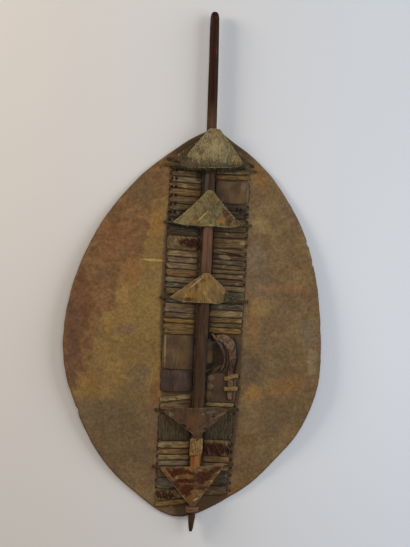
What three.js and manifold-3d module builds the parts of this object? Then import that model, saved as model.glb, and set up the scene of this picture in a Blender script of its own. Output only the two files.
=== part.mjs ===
// A rawhide shield, lying on its face so that the back, the holder's side, looks up.
// Millimetres, +Z up. +Y runs along the carrying stick to its long bare end, +X to the right of it.
// The origin is in the middle of the shield's own box, on the surface that it lies on.

import * as THREE from 'three';
import { mergeVertices } from 'three/addons/utils/BufferGeometryUtils.js';
import Module from 'manifold-3d';

const wasm = await Module();
wasm.setup();

// ---------------------------------------------------------------- layers, from the ground up

const clearance = 0.3;
const laceThickness = 2.1;
const hideThickness = 3;
const frontLayer = laceThickness / 2;
const hideUnderside = laceThickness + clearance;
const hideTop = hideUnderside + hideThickness;
const backLayer = hideTop + clearance + laceThickness / 2;
const laceCrown = 0.8;
const laceTop = backLayer + laceThickness / 2 + laceCrown;

// ---------------------------------------------------------------- the hide

// Rim stations from the top of the hide to its foot: left edge, height, right edge.
const rimStations = [
  [10, 253, 32],
  [-18, 238, 52],
  [-51, 214, 87],
  [-93, 180, 124],
  [-130, 140, 155],
  [-166, 90, 184.5],
  [-192, 40, 204],
  [-214, -20, 219],
  [-226.5, -80, 226.5],
  [-230, -135, 230],
  [-223, -190, 227.5],
  [-206, -240, 214.5],
  [-184.5, -290, 190],
  [-157, -335, 153],
  [-121.5, -375, 115.5],
  [-84, -405, 72.5],
  [-56, -425, 39],
  [-39, -434, 20],
  [-20, -440, -2],
];
const hideRows = 27;
const lobeColumns = 4;
const flatBand = { left: -68, right: 98 };
const lobeReach = 230;
const lobeLift = { left: 17, right: 14 };

// ---------------------------------------------------------------- the stick

const stick = {
  length: 930,
  radius: 9,
  sides: 12,
  axisX: 13,
  bow: 6,
  height: hideTop + clearance + 9,
};

// ---------------------------------------------------------------- the two columns of lacing

const slitPlay = 0.7;
const laceGap = 1.4;
const endPinch = 0.35;
const widestPinch = 6;
const shoulder = 6;
const tailLength = 12;

// Each thong winds round its column: a bar on the back for each height in the list, then
// through the inner slit, across the front and up through the next outer slit.
// top is the upper edge of its first bar, and lean lifts the inner end of its bars.
const leftColumn = {
  inner: 1,
  outerAt: () => -52,
  laces: [
    { name: 'lace_left_1', top: 191, heights: [11, 11, 11, 11, 13], lean: -2 },
    { name: 'lace_left_2', top: 134, heights: [14, 13, 13, 14, 17], lean: -3 },
    { name: 'patch_left_1', top: 63, heights: [26], lean: -2 },
    { name: 'lace_left_3', top: 37, heights: [12, 11, 11, 14], lean: -2 },
    { name: 'lace_left_4', top: -11, heights: [11, 9, 13, 14], lean: -2 },
    { name: 'lace_left_5', top: -58, heights: [17, 10, 9, 20], lean: -1 },
    { name: 'panel_left_1', top: -114, heights: [63], lean: 0 },
    { name: 'panel_left_2', top: -177, heights: [40], lean: 1 },
    { name: 'lace_left_6', top: -222.5, heights: [10.5, 15], lean: 8 },
    { name: 'panel_left_3', top: -253, heights: [51], lean: 4 },
    { name: 'lace_left_7', top: -305, heights: [13, 11, 10, 11], lean: 3 },
    { name: 'lace_left_8', top: -351, heights: [19, 20], lean: 5 },
    { name: 'patch_left_2', top: -392.5, heights: [17], lean: 9 },
    { name: 'lace_left_9', top: -410.5, heights: [10.5], lean: 8 },
  ],
};
const rightColumn = {
  inner: 31,
  outerAt: (y) => 88 - 0.045 * Math.max(0, -40 - y),
  laces: [
    { name: 'lace_right_1', top: 187, heights: [11, 10], lean: 0 },
    { name: 'panel_right_1', top: 165, heights: [41], lean: 1 },
    { name: 'lace_right_2', top: 124, heights: [13, 14, 13], lean: 0 },
    { name: 'lace_right_3', top: 84, heights: [11, 11, 18], lean: 0 },
    { name: 'lace_right_4', top: 43, heights: [11, 9, 9, 8], lean: 2 },
    { name: 'lace_right_5', top: 6, heights: [8, 10, 11, 11], lean: 1 },
    { name: 'lace_right_6', top: -34, heights: [21, 12], lean: 0 },
    { name: 'lace_right_7', top: -67, heights: [13, 10, 8, 11], lean: 0 },
    { name: 'panel_right_2', top: -179, heights: [53], lean: 0 },
    { name: 'lace_right_8', top: -232, heights: [8.5], lean: 0 },
    { name: 'panel_right_3', top: -250, heights: [49], lean: 0 },
    { name: 'patch_right_1', top: -299, heights: [29], lean: 0 },
    { name: 'lace_right_9', top: -328, heights: [12, 15], lean: 0 },
    { name: 'lace_right_10', top: -356, heights: [26, 17], lean: -2 },
  ],
};

// ---------------------------------------------------------------- the triangular tabs

const tabThickness = 2.2;
const tabPlay = 0.8;
const cornerWidth = 7;

// left and right are the corners of a tab, apex its point over the stick, and base the depth
// by which its long edge hangs past the corners. blunt is the height of a corner that is cut
// off, and plateau the share of a slope over which the point stays at full height. The slopes
// start at the feet, and a narrow strap runs on from each foot to its slit. Layer 1 lies on
// layer 0.
const tabs = [
  {
    name: 'top_under_tab',
    left: [-50, 199],
    apex: [17, 249],
    right: [86, 196],
    base: 8,
    layer: 0,
    slits: { left: [-58, 199], right: [94, 193] },
  },
  {
    name: 'tab_1',
    left: [-36, 188],
    apex: [24, 255],
    right: [76, 193],
    base: 5,
    layer: 1,
    plateau: 0.2,
    feet: { left: -50, right: 86 },
    slits: { left: [-63, 189], right: [99, 184] },
  },
  {
    name: 'tab_2',
    left: [-43, 86],
    apex: [21, 145],
    right: [79, 85],
    base: 4,
    layer: 0,
    plateau: 0.1,
  },
  {
    name: 'tab_3',
    left: [-43, -49],
    apex: [20, -2],
    right: [55, -51],
    base: 5,
    layer: 0,
    plateau: 0.1,
    blunt: { left: 2, right: 21 },
    feet: { left: -43, right: 79 },
  },
  { name: 'tab_4', left: [-45, -251], apex: [15, -302], right: [68, -245], base: -6, layer: 0 },
  { name: 'tab_5', left: [-46, -352], apex: [12, -417], right: [66, -344], base: -1, layer: 0 },
];
const slitOutset = 7;
const tabTail = 9;

// ---------------------------------------------------------------- the hand loop and its ties

const loopThickness = 3.5;
const tieWidth = 7;
const ties = [{ name: 'tie_1', y: -185 }, { name: 'tie_2', y: -205 }];
const tieReach = { inner: 62, outer: 85 };

// ---------------------------------------------------------------- the bindings on the stick

const bindingThickness = 2.2;
const bindingOpening = THREE.MathUtils.degToRad(50);
const sleeveSpan = [-330, -305];
const knotSpan = [-429, -419];

// ---------------------------------------------------------------- materials

const finish = (color, roughness) => new THREE.MeshStandardMaterial({ color, roughness, metalness: 0 });
const materials = {
  hide: finish('#7a5c36', 0.85),
  lace: finish('#6e5a3b', 0.85),
  panel: finish('#5a4632', 0.75),
  patch: finish('#4a2a1e', 0.9),
  tab: finish('#8a713f', 0.85),
  darkHide: finish('#46362a', 0.85),
  loop: finish('#4a302a', 0.7),
  tie: finish('#a8844e', 0.8),
  wood: finish('#42291f', 0.45),
};

// ---------------------------------------------------------------- shared helpers

const slits = [];

function addSlit(x, y, length) {
  slits.push({ x, y, length: length + slitPlay });
}

function toManifold(geometry) {
  const bare = geometry.clone();
  bare.deleteAttribute('normal');
  bare.deleteAttribute('uv');
  const merged = mergeVertices(bare, 1e-4);
  return new wasm.Manifold(
    new wasm.Mesh({
      numProp: 3,
      vertProperties: new Float32Array(merged.attributes.position.array),
      triVerts: new Uint32Array(merged.index.array),
    }),
  );
}

function toGeometry(manifold) {
  const mesh = manifold.getMesh();
  const geometry = new THREE.BufferGeometry();
  geometry.setAttribute('position', new THREE.BufferAttribute(mesh.vertProperties, 3));
  geometry.setIndex(new THREE.BufferAttribute(mesh.triVerts, 1));
  geometry.computeVertexNormals();
  return geometry;
}

// Bends a flat bar of hide along a row of stations. Each station has its place, the strip's
// width there, the direction of that width, and its thickness. Corners are mitred.
function bendStrip(stations, thickness) {
  const last = stations.length - 1;
  const points = stations.map((station) => new THREE.Vector3(...station.at));
  const faceNormal = (from, to, across) =>
    points[to].clone().sub(points[from]).cross(across).normalize();
  const geometry = new THREE.BoxGeometry(1, 1, 1, last, 1, 1);
  const position = geometry.attributes.position;
  const frames = stations.map((station, i) => {
    const across = new THREE.Vector3(...(station.across ?? [0, 1, 0])).normalize();
    const before = faceNormal(Math.max(i - 1, 0), Math.max(i, 1), across);
    const after = faceNormal(Math.min(i, last - 1), Math.min(i + 1, last), across);
    const mitre = 1 / (1 + before.dot(after));
    return { across, normal: before.add(after).multiplyScalar(mitre) };
  });
  for (let i = 0; i < position.count; i += 1) {
    const index = Math.round((position.getX(i) + 0.5) * last);
    const station = stations[index];
    const side = position.getZ(i) * (station.thickness ?? thickness);
    const place = points[index]
      .clone()
      .addScaledVector(frames[index].across, position.getY(i) * station.width)
      .addScaledVector(frames[index].normal, side);
    position.setXYZ(i, place.x, place.y, place.z);
  }
  geometry.computeVertexNormals();
  return geometry;
}

const along = THREE.MathUtils.lerp;

// ---------------------------------------------------------------- makers

function makeHide() {
  const rim = new THREE.CatmullRomCurve3(rimStations.map((station) => new THREE.Vector3(...station)));
  const columns = 2 * lobeColumns + 1;
  const geometry = new THREE.BoxGeometry(1, 1, 1, columns, hideRows, 1);
  const position = geometry.attributes.position;
  for (let i = 0; i < position.count; i += 1) {
    const column = Math.round((position.getX(i) + 0.5) * columns);
    const row = rim.getPoint(0.5 - position.getY(i));
    const [left, y, right] = [row.x, row.y, row.z];
    const bandLeft = Math.max(flatBand.left, along(left, stick.axisX, 0.3));
    const bandRight = Math.min(flatBand.right, along(right, stick.axisX, 0.3));
    const inLeftLobe = column <= lobeColumns;
    const x = inLeftLobe
      ? along(left, bandLeft, column / lobeColumns)
      : along(bandRight, right, (column - lobeColumns - 1) / lobeColumns);
    const leftShare = Math.max(0, (flatBand.left - x) / (lobeReach + flatBand.left));
    const rightShare = Math.max(0, (x - flatBand.right) / (lobeReach - flatBand.right));
    const lift = lobeLift.left * leftShare ** 2 + lobeLift.right * rightShare ** 2;
    position.setXYZ(i, x, y, hideUnderside + (position.getZ(i) + 0.5) * hideThickness + lift);
  }
  return cutSlits(toManifold(geometry), slits);
}

function cutSlits(solid, cuts) {
  let cutter = null;
  for (const cut of cuts) {
    const box = new THREE.BoxGeometry(laceThickness + slitPlay, cut.length, 6 * hideThickness);
    box.translate(cut.x, cut.y, hideTop - hideThickness / 2);
    const piece = toManifold(box);
    cutter = cutter ? cutter.add(piece) : piece;
  }
  return toGeometry(solid.subtract(cutter));
}

function stickCentre(y) {
  const share = y / stick.length + 0.5;
  return stick.axisX + stick.bow * Math.sin(Math.PI * share);
}

function makeStick() {
  const { length, radius, sides } = stick;
  const profile = [
    [0, 0],
    [0.28, 1.5],
    [0.46, 7],
    [0.72, 26],
    [0.93, 60],
    [1, 105],
    [1, 210],
    [1, 330],
    [1, 450],
    [1.02, 570],
    [1.02, 690],
    [1, 790],
    [0.96, 870],
    [0.92, 905],
    [0.9, 918],
    [0.74, 926],
    [0.4, 929.4],
    [0, length],
  ];
  const points = profile.map(([share, y]) => new THREE.Vector2(share * radius, y - length / 2));
  const geometry = new THREE.LatheGeometry(points, sides);
  const position = geometry.attributes.position;
  for (let i = 0; i < position.count; i += 1) {
    const y = position.getY(i);
    position.setXYZ(i, position.getX(i) + stickCentre(y), y, position.getZ(i) + stick.height);
  }
  return toGeometry(toManifold(geometry));
}

// One thong of a column: bars on the back joined by bars across the front.
function makeLace(column, { top, heights, lean }) {
  const stations = [];
  let upper = top;
  let lastBar = null;
  for (const height of heights) {
    const y = upper - height / 2;
    const width = height - laceGap;
    const slitWidth = width - Math.min(endPinch * width, widestPinch);
    const outer = column.outerAt(y);
    const inner = column.inner;
    const inward = Math.sign(inner - outer);
    const outerY = y - lean / 2;
    const innerY = y + lean / 2;
    const leanPerX = lean / Math.abs(inner - outer);
    if (!lastBar) {
      stations.push({ at: [outer + inward * tailLength, outerY, frontLayer], width: 0.8 * slitWidth });
    }
    stations.push(
      { at: [outer, outerY, frontLayer], width: slitWidth },
      { at: [outer, outerY, backLayer], width: slitWidth },
      { at: [outer + inward * shoulder, outerY + leanPerX * shoulder, backLayer + laceCrown], width },
      { at: [inner - inward * shoulder, innerY - leanPerX * shoulder, backLayer + laceCrown], width },
      { at: [inner, innerY, backLayer], width: slitWidth },
      { at: [inner, innerY, frontLayer], width: slitWidth },
    );
    addSlit(outer, outerY, slitWidth);
    addSlit(inner, innerY, slitWidth);
    upper -= height;
    lastBar = { x: inner - inward * tailLength, y: innerY, width: 0.8 * slitWidth };
  }
  stations.push({ at: [lastBar.x, lastBar.y, frontLayer], width: lastBar.width });
  return bendStrip(stations, laceThickness);
}

// A tab is a tent over the stick: its two slopes leave the stick at a tangent and run down to
// the feet, from where its straps turn through slits and lie flat on the front.
function makeTab({ left, apex, right, base, layer, plateau = 0, blunt, feet, slits: places }) {
  const middle = stickCentre(apex[1]);
  const lift = (layer + 0.5) * (tabThickness + clearance);
  const reach = stick.radius + tabPlay + lift;
  const footHeight = laceTop + clearance + lift;
  const baseLevel = (x) => along(left[1], right[1], (x - left[0]) / (right[0] - left[0]));
  const upward = Math.sign(apex[1] - left[1]);
  const slope = (corner, side, footX, cut, flat, [slitX, slitY]) => {
    const rise = stick.height - footHeight;
    const run = Math.abs(middle - footX);
    const angle = Math.atan2(rise, run) + Math.asin(reach / Math.hypot(run, rise));
    const tangentX = middle + side * reach * Math.sin(angle);
    const tangentZ = stick.height + reach * Math.cos(angle);
    const edge = (share) => {
      const x = along(corner[0], tangentX, share);
      const z = along(footHeight, tangentZ, (x - footX) / (tangentX - footX));
      const hem = baseLevel(x) - base * Math.min(1, 3 * share);
      const climb = Math.min(1, share / (1 - flat)) ** 0.92;
      const point = along(corner[1] + upward * cut, apex[1], climb);
      return { at: [x, (hem + point) / 2, z], width: Math.abs(point - hem) };
    };
    const strap = (x, z, width) => ({ at: [x, slitY, z], width, thickness: laceThickness });
    addSlit(slitX, slitY, cornerWidth);
    const stations = [
      strap(slitX + side * tabTail, frontLayer, 0.7 * cornerWidth),
      strap(slitX, frontLayer, cornerWidth),
      strap(slitX, footHeight, cornerWidth),
    ];
    if (footX !== corner[0]) {
      stations.push(strap(footX, footHeight, cornerWidth));
    }
    return [...stations, ...[0, 0.35, 0.75, 1].map(edge)];
  };
  const ridge = {
    at: [middle, (apex[1] + baseLevel(middle) - base) / 2, stick.height + reach],
    width: Math.abs(apex[1] - baseLevel(middle) + base),
  };
  const leftSlit = places?.left ?? [leftColumn.outerAt(left[1]) - slitOutset, left[1]];
  const rightSlit = places?.right ?? [rightColumn.outerAt(right[1]) + slitOutset, right[1] + 1];
  const leftSide = slope(left, -1, feet?.left ?? left[0], blunt?.left ?? 3, 0, leftSlit);
  const rightSide = slope(right, 1, feet?.right ?? right[0], blunt?.right ?? 3, plateau, rightSlit);
  return bendStrip([...leftSide, ridge, ...rightSide.reverse()], tabThickness);
}

// The hand loop is a strap and a thinner strand beside it, joined at both ends. It leaves the
// hide beside the stick, arches over the space for the hand and ends flat under two ties.
function makeHandLoop() {
  const lying = laceTop + clearance + loopThickness / 2;
  const strap = [
    { at: [46, -118, frontLayer], across: [0, 1, 0], width: 8, thickness: laceThickness },
    { at: [35, -118, frontLayer], across: [0, 1, 0], width: 10, thickness: laceThickness },
    { at: [35, -118, 10], across: [0, 1, 0], width: 10, thickness: laceThickness },
    { at: [45, -119, 20], across: [0.1, 1, 0], width: 11 },
    { at: [58, -121, 29], across: [0.25, 1, 0], width: 12 },
    { at: [70, -127, 34], across: [0.75, 0.75, 0], width: 12 },
    { at: [76, -138, 35], across: [1, 0.25, 0], width: 12 },
    { at: [77, -151, 31], across: [1, -0.1, 0], width: 12 },
    { at: [75.5, -163, 23], across: [1, -0.15, 0], width: 12 },
    { at: [74, -172, lying + 2.5], across: [1, -0.1, 0], width: 12 },
    { at: [73.5, -180, lying], across: [1, 0, 0], width: 12 },
    { at: [73.5, -214, lying], across: [1, 0, 0], width: 11 },
  ];
  const strand = [
    { at: [42, -120, 17], across: [0.3, 1, 0], width: 5 },
    { at: [50, -128, 21], across: [0.8, 0.8, 0], width: 5 },
    { at: [60, -141, 24], across: [1, 0.5, 0], width: 5 },
    { at: [64, -155, 22], across: [1, 0, 0], width: 5 },
    { at: [66, -167, 16], across: [1, -0.2, 0], width: 5 },
    { at: [71, -178, lying], across: [1, 0, 0], width: 5 },
    { at: [71.5, -184, lying], across: [1, 0, 0], width: 5 },
  ];
  addSlit(35, -118, 10);
  const strapSolid = toManifold(bendStrip(strap, loopThickness));
  const strandSolid = toManifold(bendStrip(strand, loopThickness - clearance));
  return toGeometry(strapSolid.add(strandSolid));
}

// A tie is a staple over the loop's end, with both legs down through the hide.
function makeTie(y) {
  const over = laceTop + clearance + loopThickness + clearance + laceThickness / 2;
  const { inner, outer } = tieReach;
  addSlit(inner, y, tieWidth);
  addSlit(outer, y, tieWidth);
  return bendStrip(
    [
      { at: [inner - 8, y, frontLayer], width: tieWidth },
      { at: [inner, y, frontLayer], width: tieWidth },
      { at: [inner, y, over], width: tieWidth },
      { at: [outer, y, over], width: tieWidth },
      { at: [outer, y, frontLayer], width: tieWidth },
      { at: [outer + 8, y, frontLayer], width: tieWidth },
    ],
    laceThickness,
  );
}

// A binding lies over the stick like a saddle and is open below, where the stick meets the hide.
function makeBinding([from, to]) {
  const middle = (from + to) / 2;
  const inside = stick.radius + clearance;
  const start = bindingOpening - Math.PI / 2;
  const end = 1.5 * Math.PI - bindingOpening;
  const shape = new THREE.Shape();
  shape.absarc(0, 0, inside + bindingThickness, start, end, false);
  shape.absarc(0, 0, inside, end, start, true);
  const geometry = new THREE.ExtrudeGeometry(shape, {
    depth: to - from,
    bevelEnabled: false,
    curveSegments: 9,
  });
  geometry.rotateX(Math.PI / 2);
  geometry.translate(stickCentre(middle), to, stick.height);
  return toGeometry(toManifold(geometry));
}

// ---------------------------------------------------------------- assembly

const group = new THREE.Group();

function addPiece(name, geometry, material) {
  const mesh = new THREE.Mesh(geometry, material);
  mesh.name = name;
  group.add(mesh);
}

function laceMaterial(name) {
  const kinds = { lace: materials.lace, patch: materials.patch, panel: materials.panel };
  return kinds[name.split('_')[0]];
}

for (const column of [leftColumn, rightColumn]) {
  for (const lace of column.laces) {
    let geometry = makeLace(column, lace);
    if (lace.name === 'panel_right_2') {
      const legs = ties.map(({ y }) => ({ x: tieReach.inner, y, length: tieWidth + slitPlay }));
      geometry = cutSlits(toManifold(geometry), legs);
    }
    addPiece(lace.name, geometry, laceMaterial(lace.name));
  }
}

for (const tab of tabs) {
  const material = tab.name === 'top_under_tab' ? materials.darkHide : materials.tab;
  addPiece(tab.name, makeTab(tab), material);
}

addPiece('hand_loop', makeHandLoop(), materials.loop);
for (const tie of ties) {
  addPiece(tie.name, makeTie(tie.y), materials.tie);
}
addPiece('sleeve', makeBinding(sleeveSpan), materials.tie);
addPiece('knot', makeBinding(knotSpan), materials.loop);
addPiece('stick', makeStick(), materials.wood);
addPiece('hide', makeHide(), materials.hide);

export default group;
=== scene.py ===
# %% [markdown]
# # A rawhide shield, lying on its face
# The real shield is one oval of thick cowhide, dried hard. Two columns of slits run down its
# middle, and thongs of softer hide wind through them. A carrying stick lies between the columns
# under five triangular tabs. The fixed frame gives every place, so it is loaded first, and the
# size of the bare frame is kept.

import math

import bpy
import numpy as np
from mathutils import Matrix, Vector, noise


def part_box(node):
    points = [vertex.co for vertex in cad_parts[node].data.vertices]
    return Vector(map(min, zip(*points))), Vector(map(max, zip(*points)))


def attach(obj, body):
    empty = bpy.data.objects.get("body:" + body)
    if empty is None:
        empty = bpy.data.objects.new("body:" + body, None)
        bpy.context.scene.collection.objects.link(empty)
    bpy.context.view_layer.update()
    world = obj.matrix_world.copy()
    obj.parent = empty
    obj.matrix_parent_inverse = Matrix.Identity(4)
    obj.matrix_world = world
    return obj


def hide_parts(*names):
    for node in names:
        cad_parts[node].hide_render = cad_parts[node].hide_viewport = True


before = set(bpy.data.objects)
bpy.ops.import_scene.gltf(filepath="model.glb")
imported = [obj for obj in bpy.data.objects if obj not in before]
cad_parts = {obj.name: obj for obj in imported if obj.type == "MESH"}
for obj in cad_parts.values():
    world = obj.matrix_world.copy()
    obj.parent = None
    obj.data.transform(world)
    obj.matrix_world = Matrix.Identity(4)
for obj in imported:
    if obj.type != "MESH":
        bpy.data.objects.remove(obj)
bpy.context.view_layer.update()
MM = 0.001


def box_mm(node):
    """The lowest and highest corner of a frame node, in millimetres."""
    low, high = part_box(node)
    return np.array(low) / MM, np.array(high) / MM


hide_low, hide_high = box_mm("hide")
stick_low, stick_high = box_mm("stick")
print("hide from", hide_low.round(1), "to", hide_high.round(1), "mm")

# %% [markdown]
# ## Camera
# A flat thing that lies down is looked at from straight above. A long lens keeps the raised tabs
# from sliding outwards, and the camera is rolled a little, so that the stick leans to the right.

# %% Camera
view_centre = (17.1 * MM, -2.7 * MM)
view_height = 983 * MM
lens = 85
half_sensor = 18
roll = math.radians(-2.71)

camera_data = bpy.data.cameras.new("camera")
camera_data.lens = lens
camera = bpy.data.objects.new("camera", camera_data)
camera.location = (*view_centre, view_height / 2 * lens / half_sensor)
camera.rotation_euler = (0, 0, -roll)
bpy.context.scene.collection.objects.link(camera)
bpy.context.scene.camera = camera
bpy.context.scene.view_settings.view_transform = "Standard"
print("camera height", round(camera.location.z, 3), "m")

# %% [markdown]
# ## Shells
# Every piece starts as a shell: its points in millimetres, its faces, how far each point is from
# the cut edge of the hide, and which finish each face takes. Plain arrays are quick to bend and
# roughen, and one helper turns them into a Blender mesh that rides on the frame.


# %% Shell helpers
far_inside = 9.0
ground_gap = 0.15
noise_octaves = 3


class Shell:
    """Points, faces, the distance of each point from a cut edge, and a finish for each face."""

    def __init__(self, points, faces, edge=None, finish=None):
        """Without edge every point counts as far inside, without finish all faces take the first."""
        self.points = np.asarray(points, float)
        self.faces = [tuple(face) for face in faces]
        self.edge = np.full(len(self.points), far_inside) if edge is None else np.asarray(edge, float)
        self.finish = [0] * len(self.faces) if finish is None else list(finish)


def join_shells(shells):
    """One shell that holds all the others."""
    points = np.vstack([shell.points for shell in shells])
    edge = np.concatenate([shell.edge for shell in shells])
    faces = []
    finish = []
    start = 0
    for shell in shells:
        faces += [tuple(index + start for index in face) for face in shell.faces]
        finish += shell.finish
        start += len(shell.points)
    return Shell(points, faces, edge, finish)


def wander(points, size, seed):
    """Smooth noise from about -1 to 1 at each point, in lumps about size wide."""
    shift = Vector((seed * 17.3, seed * 5.1, seed * 9.7))
    scaled = np.asarray(points, float) / size
    return np.array([noise.fractal(Vector(p) + shift, 1.0, 2.0, noise_octaves) for p in scaled])


def wander_over(x, y, size, seed, z=0.0):
    """The same noise over arrays of x, y and z of any shape."""
    places = np.stack(np.broadcast_arrays(x, y, z), axis=-1)
    return wander(places.reshape(-1, 3), size, seed).reshape(np.shape(x))


def smooth_step(value, low, high):
    """0 below low, 1 above high, and a soft ramp in between."""
    share = np.clip((np.asarray(value, float) - low) / (high - low), 0, 1)
    return share * share * (3 - 2 * share)


def tube_faces(rows, around, turned=False):
    """The faces between neighbouring rings of points; turned is for rings that run the other way."""
    faces = []
    for row in range(rows - 1):
        for column in range(around):
            here = row * around + column
            beside = row * around + (column + 1) % around
            face = (here, beside, beside + around, here + around)
            faces.append((face[0], *face[:0:-1]) if turned else face)
    return faces


def strip_faces(rows, around):
    """The faces of a flat tube, with a cap of quads over each end."""
    faces = tube_faces(rows, around)
    for row, flip in ((0, True), (rows - 1, False)):
        for column in range(around // 2 - 1):
            quad = [column, column + 1, around - 2 - column, around - 1 - column]
            quad = [row * around + index for index in quad]
            faces.append(quad[::-1] if flip else quad)
    return faces


def make_piece(name, shell, finishes, stands_for=()):
    """A Blender object from a shell. It rides on the frame and stands for the named nodes.

    Thongs on the front are pressed flat by the ground, so every point stays above it.
    """
    mesh = bpy.data.meshes.new(name)
    points = shell.points * MM
    points[:, 2] = np.maximum(points[:, 2], ground_gap * MM)
    mesh.from_pydata(points.tolist(), [], shell.faces)
    for material in finishes:
        mesh.materials.append(material)
    mesh.polygons.foreach_set("material_index", shell.finish)
    mesh.polygons.foreach_set("use_smooth", [True] * len(shell.faces))
    edge = mesh.attributes.new("edge_mm", "FLOAT", "POINT")
    edge.data.foreach_set("value", shell.edge)
    mesh.update()
    piece = bpy.data.objects.new(name, mesh)
    bpy.context.scene.collection.objects.link(piece)
    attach(piece, "root")
    if stands_for:
        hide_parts(*stands_for)
    return piece


# %% [markdown]
# ## Strips
# Thongs, straps and tabs are all strips of hide that follow a route. A strip could be a curve with
# a bevel, but then its width and its raw edges couldn't change along the way. Here each station of
# the route says where the strip is, how wide it is and which way its width points, the corners are
# rounded, and a thin cross-section with soft edges is swept along.


# %% Strip helpers
most_of_gap = 0.45
edge_wave = 9
other_edge = 40
grain_length = 12
grain_width = 1.3


def round_corners(stations, radius, spacing):
    """Rounds the corners of a route and fills its straight runs with stations."""
    stations = np.asarray(stations, float)
    gaps = np.linalg.norm(np.diff(stations[:, :3], axis=0), axis=1)
    knots = [stations[0]]
    for i in range(1, len(stations) - 1):
        before = min(radius / gaps[i - 1], most_of_gap)
        after = min(radius / gaps[i], most_of_gap)
        enter = stations[i] + (stations[i - 1] - stations[i]) * before
        leave = stations[i] + (stations[i + 1] - stations[i]) * after
        for share in (0, 0.25, 0.5, 0.75, 1):
            bend = (1 - share) ** 2 * enter + 2 * share * (1 - share) * stations[i] + share**2 * leave
            knots.append(bend)
    knots.append(stations[-1])
    route = [knots[0]]
    for start, end in zip(knots, knots[1:]):
        steps = max(1, round(float(np.linalg.norm((end - start)[:3])) / spacing))
        route += [start + (end - start) * (step + 1) / steps for step in range(steps)]
    return np.array(route)


def unit(vectors):
    """The same directions with length 1."""
    return vectors / np.maximum(np.linalg.norm(vectors, axis=-1, keepdims=True), 1e-9)


def strip(route, thickness, columns=8, ragged=0.5, curl=0.0, relief=0.12, lumps=None, seed=1):
    """A strip of hide along a route of (x, y, z, width, and the x, y, z of its width).

    ragged is how far the cut edges wander, curl how far they turn up, relief the depth of the
    grain, and lumps an extra height of the upper side, given by a function of x and y.
    """
    places, widths, across = route[:, :3], route[:, 3], unit(route[:, 4:7])
    tangents = unit(np.gradient(places, axis=0))
    normals = unit(np.cross(tangents, across))
    steps = np.linalg.norm(np.diff(places, axis=0), axis=1)
    length = np.concatenate([[0], np.cumsum(steps)])
    side = np.sin(np.linspace(-1, 1, columns + 1) * math.pi / 2)
    along, share = np.meshgrid(length, side, indexing="ij")
    zeros = np.zeros(len(length))
    wander_left = wander_over(length, zeros, edge_wave, seed) * ragged
    wander_right = wander_over(length, zeros + other_edge, edge_wave, seed) * ragged
    edge_shift = np.where(share < 0, -wander_left[:, None] * share, wander_right[:, None] * share)
    offset = share * widths[:, None] / 2 + edge_shift * np.abs(share)
    grain = wander_over(along / grain_length, offset / grain_width, 1, seed + 3) * relief
    half = thickness / 2 * np.maximum(1 - np.abs(share) ** 5, 0.12) ** 0.5
    raised = curl * np.abs(share) ** 3
    base = places[:, None, :] + across[:, None, :] * offset[..., None]
    extra = 0 if lumps is None else lumps(base[..., 0], base[..., 1])
    upper = half + grain * (1 - share**4) + raised + extra
    lower = -half + raised * 0.9
    top = base + normals[:, None, :] * upper[..., None]
    bottom = base + normals[:, None, :] * lower[..., None]
    ring = np.concatenate([top, bottom[:, ::-1]], axis=1)
    rows, around = ring.shape[:2]
    edge = (1 - np.abs(share)) * widths[:, None] / 2
    ring_edge = np.concatenate([edge, edge[:, ::-1]], axis=1)
    shell = Shell(ring.reshape(-1, 3), strip_faces(rows, around), ring_edge.ravel())
    shell.upper = np.arange(len(shell.points)) % around < around // 2
    return shell


print("helpers for shells and strips are ready")

# %% [markdown]
# ## Finishes
# Hide is never one colour. It is mottled in large stains, finely grained, dark where hands and dust
# reached it and pale where it is rubbed. Some shade and highlights are painted into it as well. All
# of it is built from noise and ragged spots at real sizes, so no image is needed. The small class
# below adds one node at a time, and every finish is put together from the same few steps: lumps,
# streaks, stains, rows of holes painted as shade, edges and bumps.


# %% Finish helpers
def tone(code):
    """A paint colour written as six hex digits, turned into the linear values of the shader."""
    parts = [int(code[i : i + 2], 16) / 255 for i in (0, 2, 4)]
    linear = [c / 12.92 if c <= 0.04045 else ((c + 0.055) / 1.055) ** 2.4 for c in parts]
    return (*linear, 1)


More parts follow.
